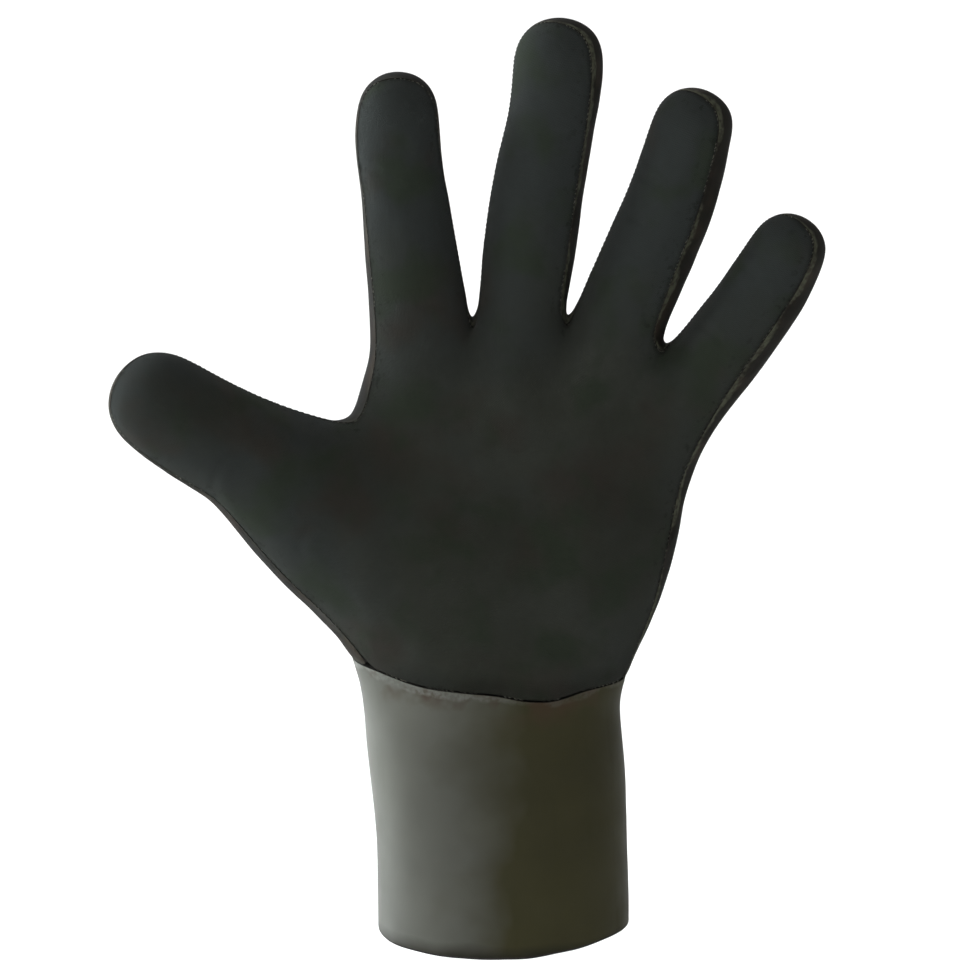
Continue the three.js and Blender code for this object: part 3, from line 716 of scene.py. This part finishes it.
THUMB_LEAN, INDEX_LEAN, MIDDLE_LEAN, RING_LEAN, LITTLE_LEAN = -58.7, -5.0, 6.3, 18.4, 31.5
PALM_FOLDS = [
    Fold((-78.0, 141.0), THUMB_LEAN, reach=9.0),
    Fold((-37.5, 222.0), INDEX_LEAN, reach=5.0),
    Fold((-20.0, 184.0), INDEX_LEAN, reach=5.0),
    Fold((15.5, 232.0), MIDDLE_LEAN, reach=5.0),
    Fold((38.0, 219.5), RING_LEAN, reach=5.5),
    Fold((35.5, 208.5), RING_LEAN, reach=4.5),
    Fold((45.5, 186.0), RING_LEAN, reach=5.0),
    Fold((66.5, 194.5), LITTLE_LEAN, reach=4.5),
    Fold((56.5, 177.0), LITTLE_LEAN, reach=5.5),
    Fold((-55.0, 122.0), THUMB_LEAN, reach=7.0),
]


@dataclass(frozen=True)
class SeamPoint:
    """A point on a panel's edge, with the outward direction of the panel's face there."""

    place: Vector
    out: Vector


@dataclass
class FoamPanel:
    """One panel of foam sheet, raised from the outer skin of its CAD solid.

    Attributes:
        node: The CAD node that it replaces.
        slot: The record's material slot; not used.
        outward: A direction in which one of its outer faces lies furthest out.
        finishes: The materials of its outer face, lining and cut edge.
        wall: The sheet's thickness in metres.
        swell: The most that the foam may swell between its seams, in metres.
        stretch: How much looser than its shape the sheet is before it swells, as a share.
        seam_depth: How deep the sheet is drawn in at a seam, in metres.
        seam_reach: How far from a seam that reaches, in metres.
        waviness: The size of the sheet's slow unevenness, in metres.
        folds: Its creases.
        free_below: Edges below this height are no seam, in metres.
        piece: The panel's object, once it is begun.
        loops: The sheet's edges, once they are noted.
    """

    node: str
    slot: str
    outward: Vector
    finishes: tuple[bpy.types.Material, bpy.types.Material, bpy.types.Material]
    wall: float = 3.0 * MM
    swell: float = 0.4 * MM
    stretch: float = 0.004
    seam_depth: float = 0.28 * MM
    seam_reach: float = 1.8 * MM
    waviness: float = 0.22 * MM
    folds: list[Fold] = field(default_factory=list)
    free_below: float = -1.0
    piece: bpy.types.Object | None = None
    loops: list[list[SeamPoint]] = field(default_factory=list)

    def build(self, frame: dict) -> bpy.types.Object:
        """Returns:
            The finished piece.
        """
        self.lift_skin(frame["nodes"][self.node])
        self.lay_out_cloth()
        self.refine(1)
        self.let_foam_swell()
        self.refine(1)
        self.note_edges()
        self.give_wall()
        self.round_free_edges()
        self.refine_outside()
        self.shape_outside()
        self.dress()
        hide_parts(self.node)
        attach(self.piece, "root")
        LOG.info("%s: %d faces", self.piece.name, len(self.piece.data.polygons))
        return self.piece

    def lift_skin(self, source: bpy.types.Object) -> None:
        """Copies the node's outer skin as one open sheet of quads.

        Args:
            source: The CAD node.
        """
        leave_edit_mode()
        self.piece = bpy.data.objects.new(self.node + "_foam", source.data.copy())
        bpy.context.collection.objects.link(self.piece)
        self.piece.data.materials.clear()
        make_active(self.piece)
        bpy.ops.object.mode_set(mode="EDIT")
        bpy.ops.mesh.select_all(action="SELECT")
        bpy.ops.mesh.remove_doubles(threshold=SAME_POINT)
        bpy.ops.object.mode_set(mode="OBJECT")
        furthest = max(self.piece.data.polygons, key=lambda face: face.center.dot(self.outward))
        edit_only(self.piece, "FACE", {furthest.index})
        bpy.ops.mesh.faces_select_linked_flat(sharpness=SHEET_EDGE_TURN)
        bpy.ops.mesh.select_all(action="INVERT")
        bpy.ops.mesh.delete(type="FACE")
        bpy.ops.mesh.select_all(action="SELECT")
        bpy.ops.mesh.tris_convert_to_quads(face_threshold=QUAD_TURN, shape_threshold=QUAD_TURN)
        leave_edit_mode()

    def lay_out_cloth(self) -> None:
        """Unwraps the sheet flat, as it was cut, with its UV map in metres."""
        make_active(self.piece)
        mesh = self.piece.data
        if not mesh.uv_layers:
            mesh.uv_layers.new(name="cut")
        bpy.ops.object.mode_set(mode="EDIT")
        bpy.ops.mesh.select_all(action="SELECT")
        bpy.ops.uv.unwrap(method="ANGLE_BASED", margin=0.0)
        leave_edit_mode()
        loops = mesh.uv_layers.active.data
        flat = 0.0
        for face in mesh.polygons:
            corners = [loops[k].uv for k in face.loop_indices]
            turned = corners[1:] + corners[:1]
            flat += abs(sum(a.x * b.y - b.x * a.y for a, b in zip(corners, turned))) / 2
        real = sum(face.area for face in mesh.polygons)
        scale = math.sqrt(real / max(flat, 1e-12))
        for loop in loops:
            loop.uv = loop.uv * scale

    def refine(self, levels: int) -> None:
        """Smooths the sheet into finer quads.

        Args:
            levels: How many times each quad is halved.
        """
        subsurf = self.piece.modifiers.new("finer", "SUBSURF")
        subsurf.levels = levels
        subsurf.render_levels = levels
        subsurf.boundary_smooth = "ALL"
        apply_modifiers(self.piece)

    def border_points(self) -> list[int]:
        """Lists the points on the open sheet's edges."""
        sheet = bmesh.new()
        sheet.from_mesh(self.piece.data)
        found = [point.index for point in sheet.verts if point.is_boundary]
        sheet.free()
        return found

    def let_foam_swell(self) -> None:
        """Simulates the sheet held at its edges and pushed out from inside, with a cap on its movement."""
        mesh = self.piece.data
        start = [point.co.copy() for point in mesh.vertices]
        held = self.piece.vertex_groups.new(name="held")
        held.add(self.border_points(), 1.0, "REPLACE")
        cloth = self.piece.modifiers.new("foam", "CLOTH")
        settings = cloth.settings
        settings.quality = 4
        settings.mass = 0.3
        settings.tension_stiffness = 20
        settings.compression_stiffness = 20
        settings.shear_stiffness = 8
        settings.bending_stiffness = 1.5
        settings.use_pressure = True
        settings.uniform_pressure_force = 4.0
        settings.shrink_min = -self.stretch
        settings.effector_weights.gravity = 0.0
        settings.vertex_group_mass = held.name
        cloth.point_cache.frame_start = 1
        cloth.point_cache.frame_end = SWELL_FRAMES
        scene = bpy.context.scene
        for frame_number in range(1, SWELL_FRAMES + 1):
            scene.frame_set(frame_number)
        apply_modifiers(self.piece)
        scene.frame_set(1)
        moves = []
        for point, before in zip(self.piece.data.vertices, start):
            move = point.co - before
            length = move.length
            moves.append(length)
            if length > 1e-9:
                point.co = before + move * (self.swell * math.tanh(length / self.swell) / length)
        LOG.info("%s: the foam moved %.2f mm at most", self.piece.name, max(moves) / MM)

    def note_edges(self) -> None:
        """Keeps the sheet's edges as loops of points in order."""
        sheet = bmesh.new()
        sheet.from_mesh(self.piece.data)
        left = {edge for edge in sheet.edges if edge.is_boundary}
        while left:
            edge = min(left, key=lambda item: item.index)
            left.discard(edge)
            start, point = edge.verts
            loop = [start, point]
            while point is not start:
                edge = next(item for item in point.link_edges if item in left)
                left.discard(edge)
                point = edge.other_vert(point)
                loop.append(point)
            self.loops.append([SeamPoint(item.co.copy(), item.normal.copy()) for item in loop])
        sheet.free()

    def give_wall(self) -> None:
        """Gives the sheet its thickness, inwards, with its lining and cut edges."""
        for part in Part:
            self.piece.data.materials.append(self.finishes[part.value])
        self.piece.vertex_groups.clear()
        self.piece.vertex_groups.new(name="lining")
        solidify = self.piece.modifiers.new("wall", "SOLIDIFY")
        solidify.thickness = self.wall
        solidify.offset = -1.0
        solidify.material_offset = Part.LINING.value
        solidify.material_offset_rim = Part.CUT_EDGE.value
        solidify.shell_vertex_group = "lining"
        apply_modifiers(self.piece)

    def round_free_edges(self) -> None:
        """Rounds nothing: a panel sewn all round has no free edge to round."""

    def refine_outside(self) -> None:
        """Halves all of the outer face's quads once more and relaxes the points that only the outer face
        holds, for the seams and folds to shape.
        """
        edit_only(self.piece, "FACE", self.faces_of(Part.OUTER))
        bpy.ops.mesh.subdivide(number_cuts=1, smoothness=0.0)
        leave_edit_mode()
        free = self.points_of(Part.OUTER) - self.points_of(Part.LINING, Part.CUT_EDGE)
        edit_only(self.piece, "VERT", free)
        bpy.ops.mesh.vertices_smooth(factor=0.5, repeat=6)
        leave_edit_mode()

    def faces_of(self, *parts: Part) -> set[int]:
        """Lists the faces of some parts of the sheet."""
        slots = {part.value for part in parts}
        return {face.index for face in self.piece.data.polygons if face.material_index in slots}

    def points_of(self, *parts: Part) -> set[int]:
        """Lists the points of some parts of the sheet."""
        faces = self.piece.data.polygons
        return {point for k in self.faces_of(*parts) for point in faces[k].vertices}

    def shape_outside(self) -> None:
        """Draws the outer face in at the seams, and gives it its folds and slow unevenness."""
        mesh = self.piece.data
        seams = [point.place for loop in self.loops for point in loop if point.place.z > self.free_below]
        tree = KDTree(len(seams))
        for k, edge in enumerate(seams):
            tree.insert(edge, k)
        tree.balance()
        moved = {}
        gaps = [1.0] * len(mesh.vertices)
        for k in self.points_of(Part.OUTER):
            point, normal = mesh.vertices[k].co, mesh.vertices[k].normal
            _, _, gap = tree.find(point)
            gaps[k] = gap
            near = max(0.0, 1.0 - gap / self.seam_reach)
            height = -self.seam_depth * near * near
            height += sum(fold.height_at(point, normal) for fold in self.folds)
            height += self.unevenness(point) * smooth_step(0.0, 6.0 * MM, gap)
            moved[k] = point + normal * height
        for k, place in moved.items():
            mesh.vertices[k].co = place
        mesh.attributes.new(SEAM_GAP, "FLOAT", "POINT").data.foreach_set("value", gaps)
        mesh.update()
        LOG.info("%s: shaped %d points", self.piece.name, len(moved))

    def unevenness(self, point: Vector) -> float:
        """The slow rise and fall of hand-made foam sheet.

        Args:
            point: A point in metres.

        Returns:
            The outward move in metres.
        """
        broad = noise.noise(point * 55.0)
        small = noise.noise(point * 150.0 + Vector((7.0, 3.0, 1.0)))
        return self.waviness * (broad + 0.4 * small)

    def dress(self) -> None:
        """Shades the panel smooth, with its cut edges sharp."""
        make_active(self.piece)
        bpy.ops.object.shade_smooth_by_angle(angle=math.radians(50))


@dataclass
class Cuff(FoamPanel):
    """The straight cuff, whose mouth has rounded corners, rises at one side and dips unevenly.

    Attributes:
        rim_round: The rounding of the mouth's corners, in metres.
        flute: The depth of the soft upright ripples in the foam, in metres.
        mouth_lift: How much higher the mouth is at the palm side's right corner, in metres.
        lift_turn: Where that corner is, in degrees round the cuff from the middle of the palm's side.
        lift_spread: How far round the cuff the lift spreads, in degrees.
        lift_height: The height at which the lift has faded out, in metres.
        dip: The depth of the mouth's uneven dips, in metres.
        dip_height: The height at which the dips have faded out, in metres.
    """

    rim_round: float = 0.8 * MM
    flute: float = 0.09 * MM
    mouth_lift: float = 2.6 * MM
    lift_turn: float = 62.0
    lift_spread: float = 34.0
    lift_height: float = 26.0 * MM
    dip: float = 0.35 * MM
    dip_height: float = 5.0 * MM

    def shape_outside(self) -> None:
        """Shapes the outer face, lifts the mouth at one side and gives it uneven dips."""
        super().shape_outside()
        middle, spread = math.radians(self.lift_turn), math.radians(self.lift_spread)
        for point in self.piece.data.vertices:
            turn = math.atan2(point.co.x, -point.co.y)
            lift = math.exp(-(((turn - middle) / spread) ** 2))
            point.co.z += self.mouth_lift * lift * (1.0 - smooth_step(0.0, self.lift_height, point.co.z))
            below = 1.0 - smooth_step(0.0, self.dip_height, point.co.z)
            point.co.z += self.dip * below * noise.noise(Vector((turn * 3.0, 0.0, 4.0)))
        self.piece.data.update()

    def unevenness(self, point: Vector) -> float:
        """Adds soft upright ripples to the foam's slow rise and fall."""
        turn = math.atan2(point.x, -point.y)
        ripple = noise.noise(Vector((turn * 4.2, point.z * 9.0, 2.0)))
        return super().unevenness(point) * 0.6 + self.flute * ripple

    def round_free_edges(self) -> None:
        """Bevels the corners of the mouth's cut edge and gives the bevel the cut foam's finish: the foam's
        own colour, which also stands in for the shade along the mouth's rim.
        """
        mesh = self.piece.data
        sides: dict[tuple[int, int], set[int]] = {}
        for face in mesh.polygons:
            for key in face.edge_keys:
                sides.setdefault(key, set()).add(face.material_index)
        corners = {
            edge.index for edge in mesh.edges
            if len(sides[edge.key]) == 2 and all(mesh.vertices[k].co.z < 6.0 * MM for k in edge.vertices)
        }
        edit_only(self.piece, "EDGE", corners)
        # The bevel takes the dark cut-foam finish: partly the foam's own colour, partly a painted dark
        # line of shade along the mouth.
        bpy.ops.mesh.bevel(offset=self.rim_round, segments=3, profile=0.5, material=Part.CUT_EDGE.value)
        leave_edit_mode()


@dataclass
class SeamStitches:
    """The threads of the blind-stitched seams: short slanted stitches across each glue line.

    Attributes:
        finish: The thread's material.
        pitch: The distance from stitch to stitch, in metres.
        length: The length of a stitch, in metres.
        thickness: The thread's thickness, in metres.
        arch: How far a stitch's ends dip, in thicknesses.
        taper: How much narrower its ends are, as a share.
        slant: How far a stitch leans from straight across, in degrees.
        slant_range: How much the slant differs either way, in degrees.
        sink: How far the thread lies below the untouched surface, in metres.
        wear_scale: The scale of the slow unevenness of the seam's wear.
        torn_below: The size of that unevenness, from -1 to 1, below which the stitches are torn out.
        spacing_range: The least and the greatest share of the pitch between two stitches.
        size_range: The least and the greatest share of the length.
        sink_range: The least and the greatest share of the sink.
        seed: The seed of its small irregularities.
    """

    finish: bpy.types.Material
    pitch: float = 1.15 * MM
    length: float = 1.9 * MM
    thickness: float = 0.36 * MM
    arch: float = 1.5
    taper: float = 0.2
    slant: float = 52.0
    slant_range: float = 20.0
    sink: float = 0.3 * MM
    wear_scale: float = 130.0
    torn_below: float = -0.12
    spacing_range: tuple[float, float] = (0.7, 1.5)
    size_range: tuple[float, float] = (0.65, 1.15)
    sink_range: tuple[float, float] = (0.6, 1.6)
    seed: int = 5

    def first_stitch(self) -> bpy.types.Object:
        """Models one stitch, an arched thread along X that dips into the foam at both ends.

        Returns:
            The stitch, to be copied.
        """
        leave_edit_mode()
        bpy.ops.mesh.primitive_cylinder_add(vertices=6, radius=self.thickness / 2, depth=self.length)
        thread = bpy.context.object
        bpy.ops.object.mode_set(mode="EDIT")
        bpy.ops.mesh.select_all(action="SELECT")
        bpy.ops.transform.rotate(value=math.pi / 2, orient_axis="Y", center_override=(0.0, 0.0, 0.0))
        for place in (-0.3, 0.0, 0.3):
            bpy.ops.mesh.select_all(action="SELECT")
            bpy.ops.mesh.bisect(plane_co=(place * self.length, 0.0, 0.0), plane_no=(1.0, 0.0, 0.0))
        leave_edit_mode()
        for point in thread.data.vertices:
            share = 2.0 * point.co.x / self.length
            point.co.z -= self.arch * self.thickness * share * share
            point.co.y *= 1.0 - self.taper * share * share
        thread.data.materials.append(self.finish)
        return thread

    def sew(self, seams: list[list[SeamPoint]]) -> bpy.types.Object:
        """Sews stitches along seams.

        Args:
            seams: Each seam's points in order.

        Returns:
            The finished threads.
        """
        chance = random.Random(self.seed)
        first = self.first_stitch()
        copies = []
        for seam in seams:
            walked = 0.0
            due = 0.5 * self.pitch
            for here, there in zip(seam, seam[1:]):
                along = there.place - here.place
                while due < walked + along.length:
                    share = (due - walked) / along.length
                    if noise.noise(here.place * self.wear_scale) < self.torn_below:
                        due += self.pitch
                        continue
                    copy = bpy.data.objects.new("stitch", first.data.copy())
                    bpy.context.collection.objects.link(copy)
                    place = here.place.lerp(there.place, share)
                    out = here.out.lerp(there.out, share)
                    copy.matrix_world = self.stitch_matrix(place, out, along, chance)
                    copies.append(copy)
                    due += self.pitch * chance.uniform(*self.spacing_range)
                walked += along.length
        make_active(first)
        for copy in copies:
            copy.select_set(True)
        first.matrix_world = copies[0].matrix_world
        bpy.ops.object.join()
        bpy.ops.object.transform_apply(location=True, rotation=True, scale=True)
        bpy.ops.object.shade_smooth()
        first.name = "seam_threads"
        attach(first, "root")
        LOG.info("%s: %d stitches", first.name, len(copies))
        return first

    def stitch_matrix(self, place: Vector, out: Vector, along: Vector, chance: random.Random) -> Matrix:
        """Places one stitch across a seam.

        Args:
            place: Its middle.
            out: The surface's outward direction there.
            along: The seam's direction.
            chance: The source of its small irregularities.

        Returns:
            The stitch's matrix.
        """
        out = out.normalized()
        across = along.cross(out).normalized()
        forward = out.cross(across).normalized()
        turn = math.radians(self.slant + chance.uniform(-self.slant_range, self.slant_range))
        long_way = across * math.cos(turn) + forward * math.sin(turn)
        side_way = out.cross(long_way)
        size = chance.uniform(*self.size_range)
        matrix = Matrix((long_way * size, side_way, out)).transposed().to_4x4()
        matrix.translation = place - out * (self.sink * chance.uniform(*self.sink_range))
        return matrix


def parts_away_from(seam: list[SeamPoint], others: list[SeamPoint], reach: float) -> list[list[SeamPoint]]:
    """Cuts a seam down to its stretches that lie away from another seam.

    Args:
        seam: The seam's points in order.
        others: The other seam's points.
        reach: How near counts as the same seam, in metres.

    Returns:
        The stretches that are left.
    """
    tree = KDTree(len(others))
    for k, point in enumerate(others):
        tree.insert(point.place, k)
    tree.balance()
    stretches: list[list[SeamPoint]] = [[]]
    for point in seam:
        if tree.find(point.place)[2] > reach:
            stretches[-1].append(point)
        elif stretches[-1]:
            stretches.append([])
    return [stretch for stretch in stretches if len(stretch) > 1]


@dataclass(frozen=True)
class SoftLight:
    """One soft light, which isn't seen itself.

    Attributes:
        name: Its name.
        place: Where it hangs, in metres.
        target: What it points at, in metres.
        size: Its width and height, in metres.
        power: Its power in watts.
        colour: Its colour.
        spread: How wide its beam fans out, in degrees.
    """

    name: str
    place: Triple
    target: Triple
    size: tuple[float, float]
    power: float
    colour: Triple = (1.0, 1.0, 1.0)
    spread: float = 180.0

    def hang(self) -> None:
        """Adds the light to the scene."""
        leave_edit_mode()
        bpy.ops.object.light_add(type="AREA", location=self.place)
        lamp = bpy.context.object
        lamp.name = self.name
        lamp.data.shape = "RECTANGLE"
        lamp.data.size, lamp.data.size_y = self.size
        lamp.data.energy = self.power
        lamp.data.color = self.colour
        lamp.data.spread = math.radians(self.spread)
        lamp.visible_camera = False
        lamp.rotation_mode = "QUATERNION"
        beam = Vector(self.target) - Vector(self.place)
        lamp.rotation_quaternion = beam.to_track_quat("-Z", "Y")


@dataclass(frozen=True)
class LightRing:
    """A ring of square lights that shine straight down on the floor, open at the back.

    Attributes:
        radius: Its radius in metres.
        size: The side of each light, in metres.
        height: The height at which they hang, in metres.
        power: The power of each light, in watts.
        spread: How wide each beam fans out, in degrees.
        step: The turn from light to light, in degrees.
    """

    radius: float
    size: float
    height: float
    power: float
    spread: float
    step: int = 45

    def hang(self) -> None:
        """Adds the ring's lights to the scene."""
        for turn in range(self.step, 360, self.step):
            x, y = self.radius * math.sin(math.radians(turn)), self.radius * math.cos(math.radians(turn))
            name = f"floor_light_{self.radius:.0f}_{turn}"
            above, below = (x, y, self.height), (x, y, 0.0)
            SoftLight(name, above, below, (self.size, self.size), self.power, spread=self.spread).hang()


GLOVE_MIDDLE = (0.0, 0.0, 0.12)
COOL_LIGHT = (0.93, 0.98, 1.0)
WARM_LIGHT = (1.0, 0.98, 0.93)
STUDIO_LIGHTS = (
    SoftLight("overhead", (-0.5, 3.4, 2.2), (-0.5, 3.4, 0.0), size=(3.4, 5.6), power=128.0),
    LightRing(radius=3.1, size=2.6, height=2.2, power=46.0, spread=60.0),
    LightRing(radius=7.6, size=6.0, height=3.0, power=170.0, spread=90.0),
    SoftLight("left_window", (-1.2, 0.32, 0.3), GLOVE_MIDDLE, (1.2, 1.2), power=46.0, colour=COOL_LIGHT),
    SoftLight("front_fill", (-0.7, -1.6, 1.5), GLOVE_MIDDLE, (1.2, 1.2), power=21.0, colour=WARM_LIGHT),
)


@dataclass
class Studio:
    """The floor, the lights and the camera at the photograph's angle.

    Attributes:
        floor_height: The floor's height in metres, below the cuff's mouth.
        floor_size: The side of the floor, in metres.
        lens: The camera's focal length in millimetres, on a sensor 36 mm wide.
        distance: How far the camera stands from its aim, in metres.
        elevation: How far above its aim the camera stands, in degrees.
        aim: What the camera points at, in metres.
        room_glow: The strength of the light from all sides.
    """

    floor_height: float = -0.16
    floor_size: float = 30.0
    lens: float = 145.0
    distance: float = 1.1
    elevation: float = 13.0
    aim: Vector = field(default_factory=lambda: Vector((-0.0051975, 0.0, 0.130244)))
    room_glow: float = 0.1

    def build(self) -> None:
        """Builds all of it."""
        self.camera()
        self.floor()
        self.lights()
        LOG.info("studio: camera, floor and lights")

    def camera(self) -> None:
        """Puts the camera at the photograph's viewing angle."""
        leave_edit_mode()
        pitch = math.radians(self.elevation)
        back = Vector((0.0, -math.cos(pitch), math.sin(pitch)))
        bpy.ops.object.camera_add(location=self.aim + back * self.distance)
        camera = bpy.context.object
        camera.rotation_mode = "QUATERNION"
        camera.rotation_quaternion = (-back).to_track_quat("-Z", "Y")
        camera.data.lens = self.lens
        camera.data.sensor_width = 36.0
        bpy.context.scene.camera = camera

    def floor(self) -> None:
        """Lays the pale floor."""
        leave_edit_mode()
        bpy.ops.mesh.primitive_plane_add(size=self.floor_size, location=(0.0, 0.0, self.floor_height))
        floor = bpy.context.object
        floor.name = "floor"
        floor.data.materials.append(FloorFinish().material())

    def lights(self) -> None:
        """Hangs the lights, with a dim room around."""
        for light in STUDIO_LIGHTS:
            light.hang()
        world = bpy.data.worlds.new("dim_room")
        world.use_nodes = True
        background = world.node_tree.nodes["Background"]
        background.inputs["Color"].default_value = (1.0, 1.0, 1.0, 1.0)
        background.inputs["Strength"].default_value = self.room_glow
        bpy.context.scene.world = world
        bpy.context.scene.view_settings.view_transform = "Standard"


def main() -> None:
    """Builds the dressed glove and its studio."""
    logging.basicConfig(level=logging.INFO, format="%(message)s")
    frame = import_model()
    Studio().build()
    black, lining = BLACK_KNIT.material(), LINING_KNIT.material()
    back_skin, cuff_skin = BACK_SKIN.material(), CUFF_SKIN.material()
    foam, thread = CUT_FOAM.material(), SEAM_THREAD.material()
    forward, backward = Vector((0.0, -1.0, 0.0)), Vector((0.0, 1.0, 0.0))
    palm = FoamPanel("palm_panel", "cloth_face", forward, (black, lining, foam), folds=PALM_FOLDS)
    back = FoamPanel("back_panel", "smooth_skin", backward, (back_skin, lining, foam))
    cuff = Cuff(
        "cuff", "cuff_skin", forward, (cuff_skin, lining, foam),
        swell=0.3 * MM, stretch=0.0, free_below=5.0 * MM,
    )
    for panel in (palm, back, cuff):
        panel.build(frame)
    round_wrist = [loop for loop in cuff.loops if min(point.place.z for point in loop) > cuff.free_below]
    sewn = [point for loop in palm.loops for point in loop]
    behind = [stretch for loop in round_wrist for stretch in parts_away_from(loop, sewn, SAME_SEAM)]
    SeamStitches(thread).sew(palm.loops + behind)


if __name__ == "__main__":
    main()
